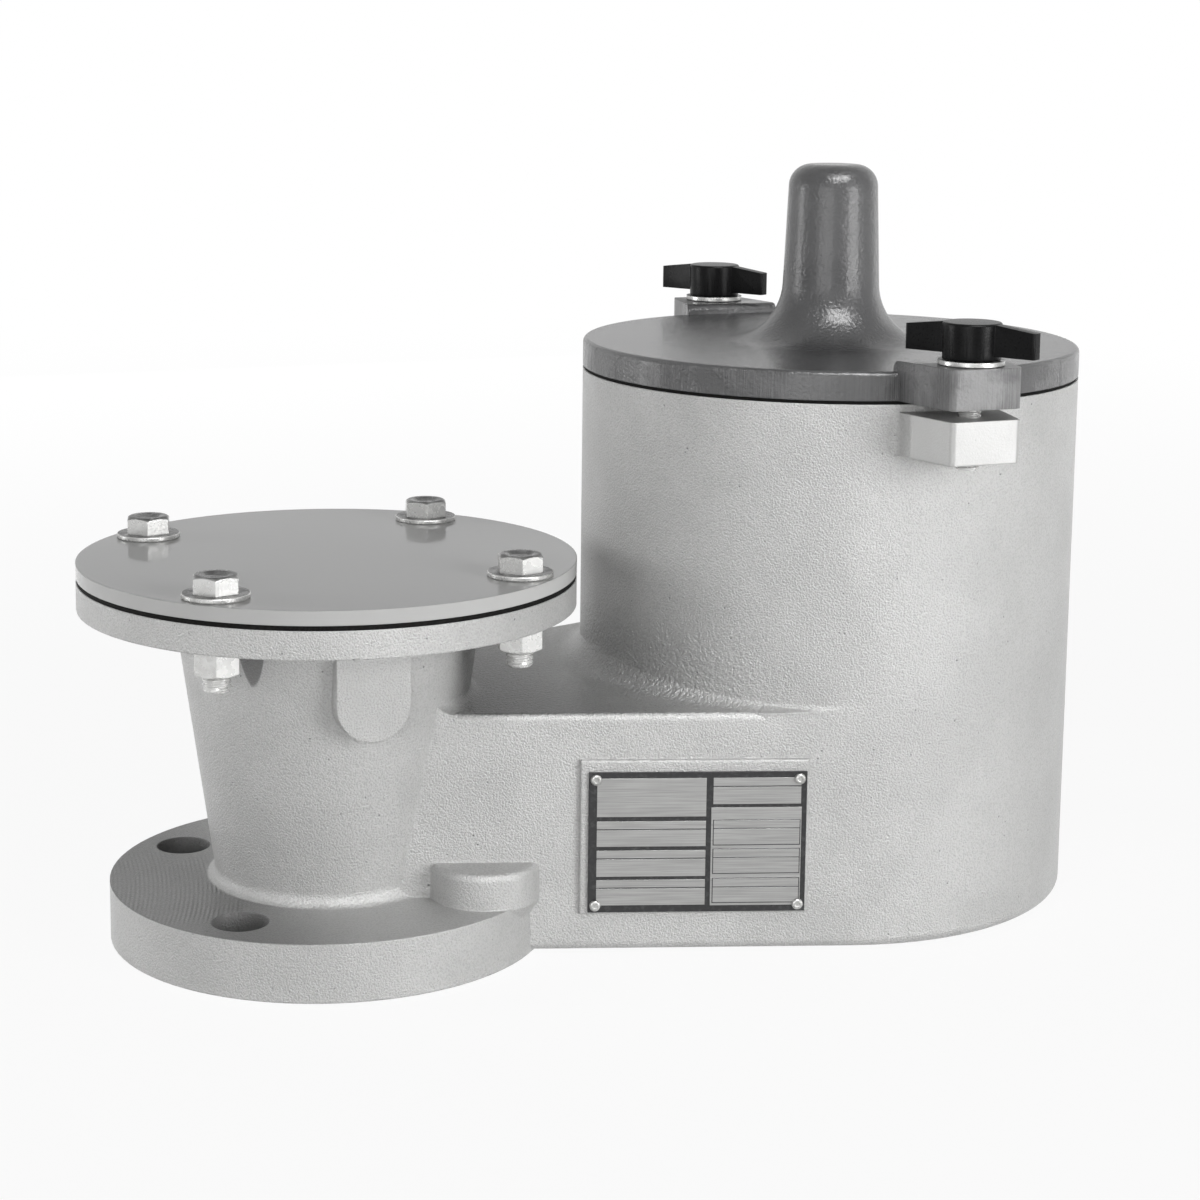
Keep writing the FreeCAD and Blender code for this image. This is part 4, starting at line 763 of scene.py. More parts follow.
class GeometryTree(NodeTree):
    """A Geometry Nodes tree with named sizes that ends as one plain mesh."""

    def __init__(self, name: str, sizes: dict[str, float]) -> None:
        """Start a tree.

        Args:
            name: The name of the tree and of the piece that it makes.
            sizes: Each named size and its value.
        """
        super().__init__(bpy.data.node_groups.new(name, "GeometryNodeTree"))
        self.name = name
        self.sizes = sizes
        for size in sizes:
            self.tree.interface.new_socket(size, in_out="INPUT", socket_type="NodeSocketFloat")
        self.tree.interface.new_socket("Geometry", in_out="OUTPUT",
                                       socket_type="NodeSocketGeometry")
        self.entry = self.tree.nodes.new("NodeGroupInput")

    def sockets(self) -> list[Socket]:
        """The sockets of the named sizes, in their order."""
        return [self.entry.outputs[name] for name in self.sizes]

    def moved(self, shape: Socket, offset: object, turn: Point = (0.0, 0.0, 0.0)) -> Socket:
        """A shape turned about each axis by an angle in radians and then moved."""
        inputs = {"Geometry": shape, "Translation": offset, "Rotation": turn}
        return self.add("GeometryNodeTransform", inputs).outputs[0]

    def joined(self, *shapes: Socket) -> Socket:
        """Several shapes as one geometry."""
        return self.add("GeometryNodeJoinGeometry", {"Geometry": list(shapes)}).outputs[0]

    def grid_place(self) -> tuple[Socket, Socket]:
        """Where a point lies on the grid that `wrapped` bends: its shares of turn and rows."""
        sides = self.split(self.add("GeometryNodeInputPosition").outputs[0])
        return self.calculate("ADD", sides[0], 0.5), self.calculate("ADD", sides[1], 0.5)

    def wrapped(self, around: int, rows: int, radius: Socket, height: Socket) -> Socket:
        """A grid bent round the upright axis and closed into a solid.

        Args:
            around: How many faces go round.
            rows: How many rows of points it has.
            radius: The distance of each point from the axis.
            height: The height of each point.

        Returns:
            The geometry.
        """
        grid = self.add("GeometryNodeMeshGrid", {"Size X": 1.0, "Size Y": 1.0,
                                                 "Vertices X": around + 1, "Vertices Y": rows})
        angle = self.product(self.grid_place()[0], 2 * math.pi)
        x = self.product(radius, self.calculate("COSINE", angle))
        y = self.product(radius, self.calculate("SINE", angle))
        shaped = self.add("GeometryNodeSetPosition", {"Geometry": grid.outputs[0],
                                                      "Position": self.vector(x, y, height)})
        merged = self.add("GeometryNodeMergeByDistance", {"Geometry": shaped.outputs[0],
                                                          "Distance": SAME_GRID_POINT})
        return merged.outputs[0]

    def chosen(self, index: Socket, values: list[object]) -> Socket:
        """One of several values.

        Args:
            index: Which one.
            values: The values or sockets to choose from.

        Returns:
            The chosen value.
        """
        node = self.add("GeometryNodeIndexSwitch", data_type="FLOAT")
        for _ in values[2:]:
            node.index_switch_items.new()
        self.tree.links.new(index, node.inputs[0])
        for socket, value in zip(node.inputs[1:], values):
            self.feed(socket, value)
        return node.outputs[0]

    def turned(self, outline: list[tuple[object, object]], around: int = 72) -> Socket:
        """A turned solid; a radius or height of its outline may change with the angle.

        Args:
            outline: The radius and height of each corner, in order.
            around: How many faces go round.

        Returns:
            The geometry.
        """
        last = float(len(outline) - 1)
        row = self.calculate("ROUND", self.product(self.grid_place()[1], last))
        radius, height = (self.chosen(row, list(values)) for values in zip(*outline))
        return self.wrapped(around, len(outline), radius, height)

    def hexagon(self, flats: Socket) -> Socket:
        """How far a hexagon reaches at each angle of the grid.

        Args:
            flats: The size across the flats.

        Returns:
            The radius.
        """
        sixth = math.pi / 3
        angle = self.product(self.grid_place()[0], 2 * math.pi)
        within = self.calculate("MODULO", self.calculate("ADD", angle, sixth / 2), sixth)
        off = self.calculate("COSINE", self.less(within, sixth / 2))
        return self.calculate("DIVIDE", self.product(flats, 0.5), off)

    def corner_drop(self, reach: Socket, rim: Socket) -> Socket:
        """How far a hexagon's chamfer falls between its rim and where the hexagon ends."""
        return self.product(self.less(reach, rim), math.tan(CHAMFER_ANGLE))

    def thread(self, radius: Socket, length: Socket, pitch: Socket, depth: Socket,
               chamfer: Socket) -> Socket:
        """A threaded rod that stands on the level plane, with chamfered ends.

        Args:
            radius: The outside radius.
            length: The length of the rod.
            pitch: The rise of one turn.
            depth: The depth of the groove.
            chamfer: How much the ends are turned down.

        Returns:
            The geometry.
        """
        share, rise = self.grid_place()
        height = self.product(rise, length)
        phase = self.less(self.calculate("DIVIDE", height, pitch), share)
        vee = self.product(self.calculate("PINGPONG", phase, 0.5), 2.0)
        groove = self.less(radius, self.product(vee, depth))
        near_end = self.calculate("MINIMUM", height, self.less(length, height))
        neck = self.calculate("ADD", self.less(radius, chamfer), near_end)
        row_height = self.calculate("DIVIDE", length, float(THREAD_ROWS))
        steep = self.calculate("DIVIDE", radius, row_height)
        cap = self.product(near_end, steep)
        reach = self.calculate("MINIMUM", self.calculate("MINIMUM", groove, neck), cap)
        return self.wrapped(THREAD_SIDES, THREAD_ROWS, reach, height)

    def round_the_axis(self, shape: Socket, radius: Socket, count: int, start: float,
                       height: Socket) -> Socket:
        """Copies of a shape on a circle about the upright axis.

        Args:
            shape: The geometry to repeat.
            radius: The radius of the circle.
            count: How many copies there are.
            start: The angle of the first copy in radians.
            height: The height of the circle.

        Returns:
            The copies as instances.
        """
        points = self.add("GeometryNodeMeshCircle", {"Vertices": count, "Radius": radius})
        placed = self.moved(points.outputs[0], self.vector(z=height), (0.0, 0.0, start))
        return self.copied(placed, shape)

    def copied(self, points: Socket, shape: Socket) -> Socket:
        """A copy of a shape as an instance on each of some points."""
        inputs = {"Points": points, "Instance": shape}
        return self.add("GeometryNodeInstanceOnPoints", inputs).outputs[0]

    def piece(self, shape: Socket, material: Material, place: Matrix | None = None) -> Piece:
        """Close the tree and turn it into a plain mesh at its place.

        Args:
            shape: The geometry that the tree ends with.
            material: The material of all of it.
            place: Where the mesh goes, or None to leave it where it is.

        Returns:
            The piece, with no modifier left on it.
        """
        real = self.add("GeometryNodeRealizeInstances", {0: shape}).outputs[0]
        smooth = self.add("GeometryNodeSetShadeSmooth", {0: real}).outputs[0]
        painted = self.add("GeometryNodeSetMaterial", {"Geometry": smooth, "Material": material})
        self.add("NodeGroupOutput", {"Geometry": painted.outputs[0]})
        holder = placed_object(self.name + "_tree", bpy.data.meshes.new(self.name))
        modifier = holder.modifiers.new(self.name, "NODES")
        modifier.node_group = self.tree
        for item in self.tree.interface.items_tree:
            if item.in_out == "INPUT":
                modifier[item.identifier] = self.sizes[item.name]
        holder.update_tag()
        mesh = settled_mesh(holder)
        if place is not None:
            mesh.transform(place)
        return finished_piece(self.name, mesh, [material])


def finished_piece(name: str, mesh: Mesh, materials: list[Material]) -> Piece:
    """Clean a mesh and make it an object of the scene.

    Args:
        name: The name of the piece.
        mesh: Its mesh, in place.
        materials: The materials of its slots.

    Returns:
        The new object.
    """
    work = bmesh.new()
    work.from_mesh(mesh)
    bmesh.ops.remove_doubles(work, verts=work.verts, dist=SAME_POINT)
    bmesh.ops.recalc_face_normals(work, faces=work.faces)
    work.to_mesh(mesh)
    work.free()
    if mesh.materials:
        mesh.materials.clear()
    for material in materials:
        mesh.materials.append(material)
    mesh.polygons.foreach_set("use_smooth", [True] * len(mesh.polygons))
    mesh.set_sharp_from_angle(angle=SHARP_ANGLE)
    mesh.name = name
    return placed_object(name, mesh)


@dataclass
class SubAssembly:
    """What every sub-assembly needs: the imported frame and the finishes."""

    frame: dict
    finishes: Finishes

    def body_of(self, node: str) -> str:
        """The name of the body that carries a CAD node."""
        bodies = self.frame["record"]["behaviour"]["bodies"]
        return next(body for body, carried in bodies.items() if node in carried)

    def paint(self, material: Material, *nodes: str) -> None:
        """Give CAD nodes their finish.

        Args:
            material: The finish.
            nodes: The names of the nodes.
        """
        for node in nodes:
            for slot in self.frame["nodes"][node].material_slots:
                slot.material = material
            log.info("%s keeps its shape and takes %s", node, material.name)

    def stand_for(self, piece: Piece, node: str) -> None:
        """Let a piece take the place of a CAD node on the node's own body.

        Args:
            piece: The finished piece.
            node: The node that it replaces.
        """
        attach(piece, self.body_of(node))
        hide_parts(node)
        log.info("%s stands for %s", piece.name, node)

    def merged_copy(self, node: str) -> Mesh:
        """A copy of a CAD node's mesh with its loose triangles joined into clean faces.

        Args:
            node: The node's name.

        Returns:
            The new mesh.
        """
        mesh = self.frame["nodes"][node].data.copy()
        if "custom_normal" in mesh.attributes:
            mesh.attributes.remove(mesh.attributes["custom_normal"])
        work = bmesh.new()
        work.from_mesh(mesh)
        bmesh.ops.remove_doubles(work, verts=work.verts, dist=SAME_CAD_POINT)
        bmesh.ops.dissolve_limit(work, angle_limit=FLAT_ANGLE, verts=work.verts,
                                 edges=work.edges)
        work.to_mesh(mesh)
        work.free()
        return mesh

    def bevelled(self, node: str, name: str, material: Material, width: float) -> None:
        """Put a copy of a CAD node with its sharp edges rounded in the node's place.

        Args:
            node: The node's name.
            name: The name of the new piece.
            material: Its finish.
            width: The width of the rounded edges.
        """
        holder = placed_object(name + "_raw", self.merged_copy(node))
        rounding = holder.modifiers.new("rounding", "BEVEL")
        rounding.width = width
        rounding.segments = 3
        rounding.limit_method = "ANGLE"
        rounding.angle_limit = ROUNDED_ANGLE
        self.stand_for(finished_piece(name, settled_mesh(holder), [material]), node)


@dataclass
class Casting(SubAssembly):
    """The one-piece body."""

    def build(self) -> None:
        """Dress the casting."""
        self.paint(self.finishes.casting, "body_casting")


@dataclass
class BlindCover(SubAssembly):
    """The painted plate on the neck with its gasket and four bolts.

    The bolts and nuts have the photograph's 3/8 inch sizes, a little larger than the CAD's.
    """

    bolt_circle: float = 0.0730
    bolt_radius: float = 0.00470
    shank_radius: float = 0.00393
    flats: float = 0.01429
    head_height: float = 0.00595
    nut_height: float = 0.0094
    tip_length: float = 0.0055
    thread_pitch: float = 0.0254 / 16
    crown: float = 0.0006
    tip_chamfer: float = 0.0008
    thread_depth: float = 0.00055
    dish_radius: float = 0.0046
    washer_inner: float = 0.0044
    washer_outer: float = 0.0111
    washer_edge: float = 0.0003
    bore_clearance: float = 0.00006
    countersink: float = 0.0006
    first_bolt: float = math.radians(45)
    corner_angle: float = math.radians(-14)
    dish_depth: float = 0.0007

    def build(self) -> None:
        """Dress the cover and make its fasteners."""
        self.paint(self.finishes.cover, "cover_plate")
        self.paint(self.finishes.elastomer, "cover_gasket")
        self.stand_for(self.bolts(), "cover_bolts")
        self.stand_for(self.washers(), "cover_washers")
        self.stand_for(self.nuts(), "cover_nuts")

    def bolts(self) -> Piece:
        """Four hexagon bolts with a shallow dish in the head and a real thread.

        Returns:
            One piece with all four.
        """
        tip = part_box("cover_nuts")[1][2] - self.nut_height - self.tip_length
        tree = GeometryTree("cover_bolt_set", {
            "Flats": self.flats, "Head Height": self.head_height, "Crown": self.crown,
            "Thread Radius": self.bolt_radius, "Thread Length": self.tip_length + 0.0015,
            "Shank Radius": self.shank_radius, "Pitch": self.thread_pitch,
            "Thread Depth": self.thread_depth, "Tip Chamfer": self.tip_chamfer,
            "Circle Radius": self.bolt_circle, "Tip Height": tip,
            "Head Base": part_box("cover_washers")[1][2] - tip, "Dish Radius": self.dish_radius,
            "Dish Depth": self.dish_depth,
        })
        (flats, top, crown, thread_radius, thread_length, shank_radius, pitch, depth, chamfer,
         circle, tip_height, base, dish, dish_depth) = tree.sockets()
        reach, rim = tree.hexagon(flats), tree.less(tree.product(flats, 0.5), crown)
        sunk = tree.less(top, dish_depth)
        head = tree.turned([
            (0.0, 0.0), (reach, 0.0), (reach, tree.less(top, tree.corner_drop(reach, rim))),
            (rim, top), (dish, top), (tree.product(dish, 0.7), sunk), (0.0, sunk)])
        raised = tree.moved(head, tree.vector(z=base), (0.0, 0.0, self.corner_angle))
        threaded = tree.thread(thread_radius, thread_length, pitch, depth, chamfer)
        start = tree.product(thread_length, 0.5)
        shank = tree.turned([(0.0, start), (shank_radius, start), (shank_radius, base),
                             (0.0, base)], THREAD_SIDES)
        bolt = tree.joined(raised, shank, threaded)
        around = tree.round_the_axis(bolt, circle, 4, self.first_bolt, tip_height)
        return tree.piece(around, self.finishes.zinc)

    def washers(self) -> Piece:
        """Four flat washers.

        Returns:
            One piece with all four.
        """
        low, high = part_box("cover_washers")
        tree = GeometryTree("cover_washer_set", {
            "Bore Radius": self.washer_inner, "Radius": self.washer_outer,
            "Edge": self.washer_edge, "Thickness": high[2] - low[2],
            "Circle Radius": self.bolt_circle, "Base": low[2],
        })
        bore, radius, edge, top, circle, base = tree.sockets()
        inside = tree.less(radius, edge)
        washer = tree.turned([
            (bore, 0.0), (inside, 0.0), (radius, edge), (radius, tree.less(top, edge)),
            (inside, top), (bore, top), (bore, 0.0)])
        around = tree.round_the_axis(washer, circle, 4, self.first_bolt, base)
        return tree.piece(around, self.finishes.washer_zinc)

    def nuts(self) -> Piece:
        """Four hexagon nuts, crown side down.

        Returns:
            One piece with all four.
        """
        tree = GeometryTree("cover_nut_set", {
            "Flats": self.flats, "Height": self.nut_height, "Crown": self.crown,
            "Bore Radius": self.bolt_radius + self.bore_clearance,
            "Countersink": self.countersink, "Circle Radius": self.bolt_circle,
            "Seat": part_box("cover_nuts")[1][2],
        })
        flats, top, crown, bore, sink, circle, seat = tree.sockets()
        reach, rim = tree.hexagon(flats), tree.less(tree.product(flats, 0.5), crown)
        drop = tree.corner_drop(reach, rim)
        nut = tree.turned([
            (bore, 0.0), (rim, 0.0), (reach, drop), (reach, tree.less(top, drop)), (rim, top),
            (tree.calculate("ADD", bore, sink), top), (bore, tree.less(top, sink)),
            (bore, 0.0)])
        upended = tree.moved(nut, (0.0, 0.0, 0.0), (math.pi, 0.0, self.corner_angle))
        around = tree.round_the_axis(upended, circle, 4, self.first_bolt, seat)
        return tree.piece(around, self.finishes.zinc)


@dataclass
class Nameplate(SubAssembly):
    """The plate on the channel's front wall: bare brushed fields in a black border."""

    width: float = 0.0745
    height: float = 0.0494
    thickness: float = 0.0008
    middle_along: float = 0.1260
    middle_height: float = 0.0396
    back_distance: float = 0.0331
    proud: float = 0.00004
    rivet_inset: float = 0.0025
    rivet_radius: float = 0.0019
    rivet_dome: float = 0.0012
    rivet_outline: tuple[Pair, ...] = (
        (0.0, 0.0), (1.0, 0.0), (1.0, 0.45), (0.93, 0.75), (0.78, 0.94), (0.60, 1.0),
        (0.46, 1.0), (0.38, 0.86), (0.0, 0.80))
    left_column: Pair = (0.0029, 0.0401)
    right_column: Pair = (0.0425, 0.0725)
    left_rows: tuple[Pair, ...] = (
        (0.0021, 0.0156), (0.0172, 0.0199), (0.0203, 0.0261), (0.0275, 0.0302),
        (0.0306, 0.0367), (0.0379, 0.0406), (0.0410, 0.0469))
    right_rows: tuple[Pair, ...] = ((0.0021, 0.0049), (0.0053, 0.0113))
    group: Pair = (0.0125, 0.0472)
    group_rows: tuple[tuple[float, float, float], ...] = (
        (0.0168, 0.0199, 0.0259), (0.0270, 0.0302, 0.0360), (0.0374, 0.0407, 0.0464))
    group_line: float = 0.0003

    @staticmethod
    def lean() -> float:
        """The angle in radians between the channel's front wall and the long axis."""
        neck_end, chamber = 0.0315, 0.0905
        return math.asin((chamber - neck_end) / CHAMBER_AXIS[0])

    def wall_frame(self) -> Matrix:
        """The plate's own frame: x along the wall, y up and z outwards, at its back.

        Returns:
            The matrix from the plate's frame to the model's.
        """
        lean = self.lean()
        run = Vector((math.cos(lean), -math.sin(lean), 0.0))
        out = Vector((-math.sin(lean), -math.cos(lean), 0.0))
        spot = run * self.middle_along + out * self.back_distance
        spot.z = self.middle_height
        turn = Matrix((run, (0.0, 0.0, 1.0), out)).transposed().to_4x4()
        return Matrix.Translation(spot) @ turn

    def build(self) -> None:
        """Make the plate with its fields and its four drive screws."""
        self.stand_for(self.plate(), "nameplate")
        self.stand_for(self.rivets(), "nameplate_screws")

    def slab(self, work: bmesh.types.BMesh, low: Point, high: Point, slot: int) -> None:
        """Add a thin box to a mesh.

        Args:
            work: The mesh under construction.
            low: Its lowest corner.
            high: Its highest corner.
            slot: The material slot of its faces.
        """
        middle = Vector(low).lerp(Vector(high), 0.5)
        size = Vector(high) - Vector(low)
        place = Matrix.Translation(middle) @ Matrix.Diagonal((*size, 1.0))
        made = bmesh.ops.create_cube(work, size=1.0, matrix=place)
        for face in {face for corner in made["verts"] for face in corner.link_faces}:
            face.material_index = slot

    def panel(self, work: bmesh.types.BMesh, across: Pair, down: Pair, level: int) -> None:
        """Add one thin field to the plate; odd levels are brushed and even ones black.

        Args:
            work: The mesh under construction.
            across: Its left and right edge from the plate's left edge.
            down: Its upper and lower edge from the plate's upper edge.
            level: How many layers it lies above the plate.
        """
        half_width, half_height = self.width / 2, self.height / 2
        low = (across[0] - half_width, half_height - down[1], self.thickness / 2)
        high = (across[1] - half_width, half_height - down[0],
                self.thickness + level * self.proud)
        self.slab(work, low, high, level % 2)

    def plate(self) -> Piece:
        """The black plate with its brushed fields.

        Returns:
            The piece.
        """
        work = bmesh.new()
        half_width, half_height = self.width / 2, self.height / 2
        self.slab(work, (-half_width, -half_height, 0.0),
                  (half_width, half_height, self.thickness), 0)
        for column, rows in ((self.left_column, self.left_rows),
                             (self.right_column, self.right_rows)):
            for row in rows:
                self.panel(work, column, row, 1)
        left, right = self.right_column
        line = self.group_line
        self.panel(work, (left - 2 * line, right + line), self.group, 1)
        for top, middle, bottom in self.group_rows:
            self.panel(work, (left, right), (top, bottom), 2)
            inside = (left + line, right - line)
            self.panel(work, inside, (top + line, middle - line / 2), 3)
            self.panel(work, inside, (middle + line / 2, bottom - line), 3)
        mesh = bpy.data.meshes.new("nameplate_fields")
        work.to_mesh(mesh)
        work.free()
        mesh.transform(self.wall_frame())
        return finished_piece("nameplate_fields", mesh,
                              [self.finishes.border, self.finishes.plate])

    def rivets(self) -> Piece:
        """Four round heads at the plate's corners.

        Returns:
            One piece with all four.
        """
        tree = GeometryTree("nameplate_rivets", {
            "Across": self.width - 2 * self.rivet_inset, "Up": self.height - 2 * self.rivet_inset,
            "Head Radius": self.rivet_radius, "Dome": self.rivet_dome,
        })
        across, up, radius, top = tree.sockets()
        domed = tree.turned([(tree.product(radius, out), tree.product(top, high))
                             for out, high in self.rivet_outline], 36)
        corners = tree.add("GeometryNodeMeshGrid", {"Size X": across, "Size Y": up,
                                                    "Vertices X": 2, "Vertices Y": 2})
        each = tree.copied(corners.outputs[0], domed)
        lifted = Matrix.Translation((0.0, 0.0, self.thickness))
        return tree.piece(each, self.finishes.rivet_zinc, self.wall_frame() @ lifted)


@dataclass
class VentScreen(SubAssembly):
    """The perforated sheet under the chamber and its three screws."""

    def build(self) -> None:
        """Dress the screen."""
        self.paint(self.finishes.screen, "vent_screen")
        self.paint(self.finishes.stainless, "screen_screws")


@dataclass
class Lid(SubAssembly):
    """The lid with its guide post, the gasket under it and the bush inside."""

    def build(self) -> None:
        """Dress the lid."""
        self.paint(self.finishes.lid, "lid")
        self.paint(self.finishes.elastomer, "lid_gasket")
        self.paint(self.finishes.bronze, "guide_bush")


@dataclass
class LidScrew(SubAssembly):
    """One wing knob with its threaded screw and washer."""

    side: Side
    screw_radius: float = 0.00393
    thread_depth: float = 0.00055
    tip_chamfer: float = 0.0005
    knob_edge: float = 0.0013

    def build(self) -> None:
        """Make the knob and its screw, and give the washer its finish."""
        word = self.side.value
        self.bevelled(f"{word}_knob", f"{word}_wing_knob", self.finishes.phenolic, self.knob_edge)
        self.stand_for(self.screw(word), f"{word}_knob_screw")
        self.paint(self.finishes.washer_zinc, f"{word}_knob_washer")

    def screw(self, word: str) -> Piece:
        """The threaded rod with its turned down ends.

        Args:
            word: The side's name.

        Returns:
            The piece.
        """
        low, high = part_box(f"{word}_knob_screw")
        tree = GeometryTree(f"{word}_lid_screw", {
            "Radius": self.screw_radius, "Length": high[2] - low[2], "Pitch": THREAD_PITCH,
            "Depth": self.thread_depth, "Chamfer": self.tip_chamfer,
        })
        rod = tree.thread(*tree.sockets())
        spot = ((low[0] + high[0]) / 2, (low[1] + high[1]) / 2, low[2])
        return tree.piece(rod, self.finishes.zinc, Matrix.Translation(spot))


@dataclass
class PressurePallet(SubAssembly):
    """The weight loaded pallet on its seat."""

    def build(self) -> None:
        """Dress the seat, the pallet, its weights and its guide tube."""
        self.paint(self.finishes.stainless, "seat_ring", "pressure_pallet", "guide_tube",
                   "weight_clip")
        self.paint(self.finishes.film, "pallet_seal")
        self.paint(self.finishes.iron, "loading_weights")


@dataclass
class VacuumPallet(SubAssembly):
    """The small pallet under the large one, with its stem and spring."""

    spring_radius: float = 0.0060
    wire_radius: float = 0.00075
    turns: float = 7.0
    spring_keep: float = 0.727

    def build(self) -> None:
        """Dress the pallet and its stem, and make the spring."""
        self.paint(self.finishes.stainless, "vacuum_pallet", "vacuum_stem", "spring_cup")
        self.paint(self.finishes.zinc, "stem_nuts")
        self.spring()

    def spring(self) -> None:
        """The round wire compression spring."""
        low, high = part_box("vacuum_spring")
        tree = GeometryTree("stem_spring", {
            "Coil Radius": self.spring_radius, "Wire Radius": self.wire_radius,
            "Height": high[2] - low[2] - 2 * self.wire_radius, "Turns": self.turns,
        })
        radius, wire_radius, height, turns = tree.sockets()
        coil = tree.add("GeometryNodeCurveSpiral", {
            "Resolution": 40, "Rotations": turns, "Start Radius": radius, "End Radius": radius,
            "Height": height})
        section = tree.add("GeometryNodeCurvePrimitiveCircle", {
            "Resolution": 12, "Radius": wire_radius})
        wire = tree.add("GeometryNodeCurveToMesh", {
            "Curve": coil.outputs[0], "Profile Curve": section.outputs[0], "Fill Caps": True})
        spot = (CHAMBER_AXIS[0], 0.0, low[2] + self.wire_radius)
        piece = tree.piece(wire.outputs[0], self.finishes.stainless, Matrix.Translation(spot))
        self.stand_for(piece, "vacuum_spring")
        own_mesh(piece)


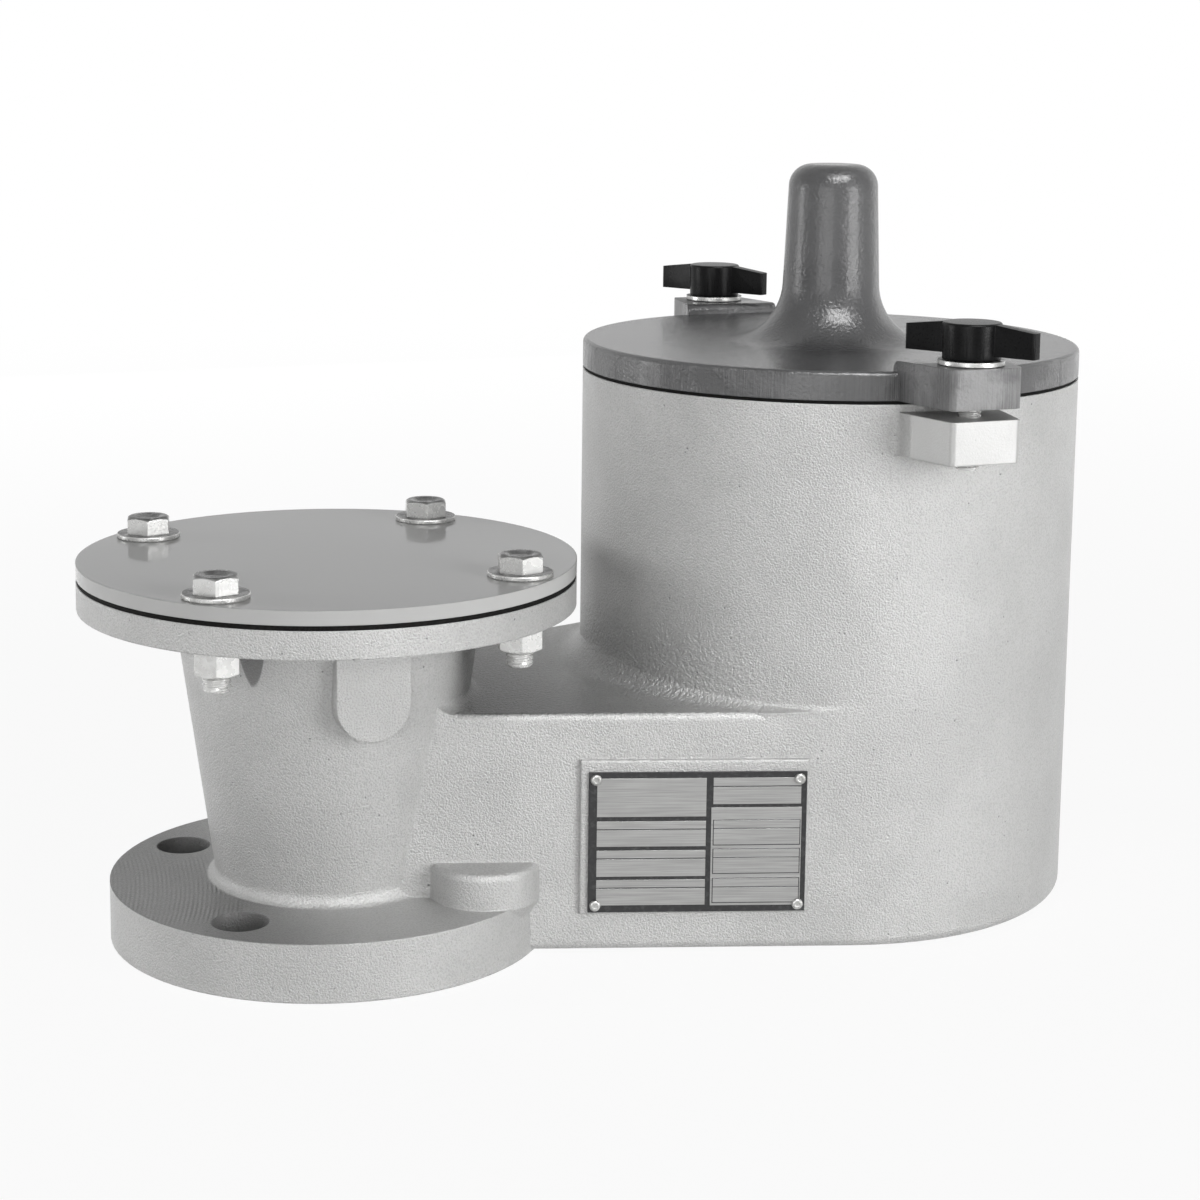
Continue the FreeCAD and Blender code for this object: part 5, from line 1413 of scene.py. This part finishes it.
@dataclass
class Studio:
    """The pale floor, the soft lights, the white surround and the camera."""

    floor_size: float = 40.0
    floor_drop: float = 0.0002
    floor_tones: tuple[Colour, Colour] = ((0.80, 0.80, 0.80), (0.84, 0.84, 0.84))
    speck_size: float = 0.4
    fade: Pair = (0.20, 1.80)
    whiteness: Pair = (0.92, 1.0)
    grey: float = 0.05
    aim: Point = (0.09, 0.0, 0.10)
    gloss_top: float = 0.36
    focal_pixels: float = 2585.4
    picture: float = 1200.0
    sensor: float = 36.0
    axis_row: float = 440.0
    camera_place: Point = (0.09313, -0.87350, 0.31574)
    pitch: float = math.radians(9.227)
    roll: float = math.radians(0.683)
    yaw: float = math.radians(21.718)
    lamps: list = field(default_factory=list)

    def build(self) -> None:
        """Set up everything round the valve."""
        self.floor()
        self.surround()
        self.split_light("key", (0.77, -1.16, 0.30), (0.60, 0.8), 15.8)
        self.split_light("fill", (-0.80, -1.10, 0.30), (0.9, 0.6), 7.4)
        self.split_light("left_rim", (-1.00, 0.50, 0.25), (0.30, 0.8), 6.5)
        self.light("right_rim", (1.15, 0.35, 0.30), (0.30, 0.8), 0.8)
        self.light("top", (0.10, 0.35, 1.35), (1.1, 1.1), 0.2)
        self.light("overhead", (0.15, -0.80, 1.25), (0.9, 0.5), 30.0).visible_diffuse = False
        self.light("back", (0.10, 1.40, 0.30), (1.2, 0.6), 6.0).visible_glossy = False
        self.camera()
        bpy.context.scene.view_settings.view_transform = "Standard"
        log.info("studio ready with %d lights", len(self.lamps))

    def floor(self) -> None:
        """A wide pale floor that fades to white round the valve and keeps its shadow."""
        mesh = bpy.data.meshes.new("studio_floor")
        half = self.floor_size / 2
        corners = [(-half, -half, 0.0), (half, -half, 0.0), (half, half, 0.0), (-half, half, 0.0)]
        mesh.from_pydata(corners, [], [(0, 1, 2, 3)])
        tree = ShaderTree("pale_floor")
        fade = tree.ramp(tree.radius(CHAMBER_AXIS), *self.fade, *self.whiteness)
        speck = tree.blend(tree.noise(self.speck_size, 2.0), *self.floor_tones)
        matt = tree.add("ShaderNodeBsdfDiffuse", {"Color": speck})
        white = tree.add("ShaderNodeEmission", {"Color": (1.0, 1.0, 1.0), "Strength": 1.0})
        both = tree.add("ShaderNodeMixShader", {0: tree.product(tree.plainly_seen(), fade),
                                                1: matt.outputs[0], 2: white.outputs[0]})
        tree.add("ShaderNodeOutputMaterial", {"Surface": both.outputs[0]})
        mesh.materials.append(tree.material)
        floor = placed_object("studio_floor", mesh)
        floor.location.z = -self.floor_drop

    def surround(self) -> None:
        """White all round for the camera and for reflections, and soft grey light otherwise."""
        world = bpy.data.worlds.new("surround")
        world.use_nodes = True
        tree = NodeTree(world.node_tree)
        colour = tree.blend(tree.plainly_seen(), (self.grey,) * 3, (1.0, 1.0, 1.0))
        background = tree.add("ShaderNodeBackground", {"Color": colour})
        tree.add("ShaderNodeOutputWorld", {"Surface": background.outputs[0]})
        bpy.context.scene.world = world

    def light(self, name: str, place: Point, size: Pair, power: float) -> Piece:
        """A rectangular soft light aimed at the valve.

        Args:
            name: The light's name.
            place: Where it stands.
            size: Its width and height.
            power: Its power in watts.

        Returns:
            The light.
        """
        lamp = bpy.data.lights.new(name, "AREA")
        lamp.shape = "RECTANGLE"
        lamp.size, lamp.size_y = size
        lamp.energy = power
        stand = placed_object(name, lamp)
        stand.location = place
        aim = Vector(self.aim) - Vector(place)
        stand.rotation_euler = aim.to_track_quat("-Z", "Y").to_euler()
        self.lamps.append(stand)
        return stand

    def split_light(self, name: str, place: Point, size: Pair, power: float) -> None:
        """A soft light whose glossy part stays low, so that flat tops don't mirror it.

        Args:
            name: The light's name.
            place: Where it stands.
            size: Its width and height.
            power: Its power in watts.
        """
        self.light(name, place, size, power).visible_glossy = False
        low = (place[0], place[1], self.gloss_top / 2)
        share = self.gloss_top / size[1]
        twin = self.light(f"{name}_gloss", low, (size[0], self.gloss_top), power * share)
        twin.visible_diffuse = False

    def camera(self) -> None:
        """The camera where the photograph was taken from."""
        ahead = Vector((0.0, math.cos(self.pitch), -math.sin(self.pitch)))
        above = Vector((0.0, math.sin(self.pitch), math.cos(self.pitch)))
        right = Vector((1.0, 0.0, 0.0))
        level, tilt = math.cos(self.roll), math.sin(self.roll)
        rolled_right = right * level + above * tilt
        rolled_up = above * level - right * tilt
        turn = Matrix.Rotation(-self.yaw, 4, "Z")
        axes = Matrix((rolled_right, rolled_up, -ahead)).transposed().to_4x4()
        lens = bpy.data.cameras.new("camera")
        lens.sensor_width = self.sensor
        lens.lens = self.focal_pixels / self.picture * self.sensor
        lens.shift_y = (self.axis_row - self.picture / 2) / self.picture
        lens.clip_start = 0.01
        lens.clip_end = 100.0
        camera = placed_object("camera", lens)
        camera.matrix_world = turn @ Matrix.Translation(self.camera_place) @ axes
        bpy.context.scene.camera = camera


def main() -> None:
    """Load the frame, dress each sub-assembly in turn and set up the studio."""
    logging.basicConfig(level=logging.INFO, format="%(message)s")
    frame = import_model()
    finishes = Finishes()
    assemblies = [
        Casting(frame, finishes),
        BlindCover(frame, finishes),
        Nameplate(frame, finishes),
        VentScreen(frame, finishes),
        Lid(frame, finishes),
        LidScrew(frame, finishes, Side.FRONT),
        LidScrew(frame, finishes, Side.REAR),
        PressurePallet(frame, finishes),
        VacuumPallet(frame, finishes),
    ]
    for assembly in assemblies:
        assembly.build()
        log.info("%s done", type(assembly).__name__)
    Studio().build()


if __name__ == "__main__":
    main()
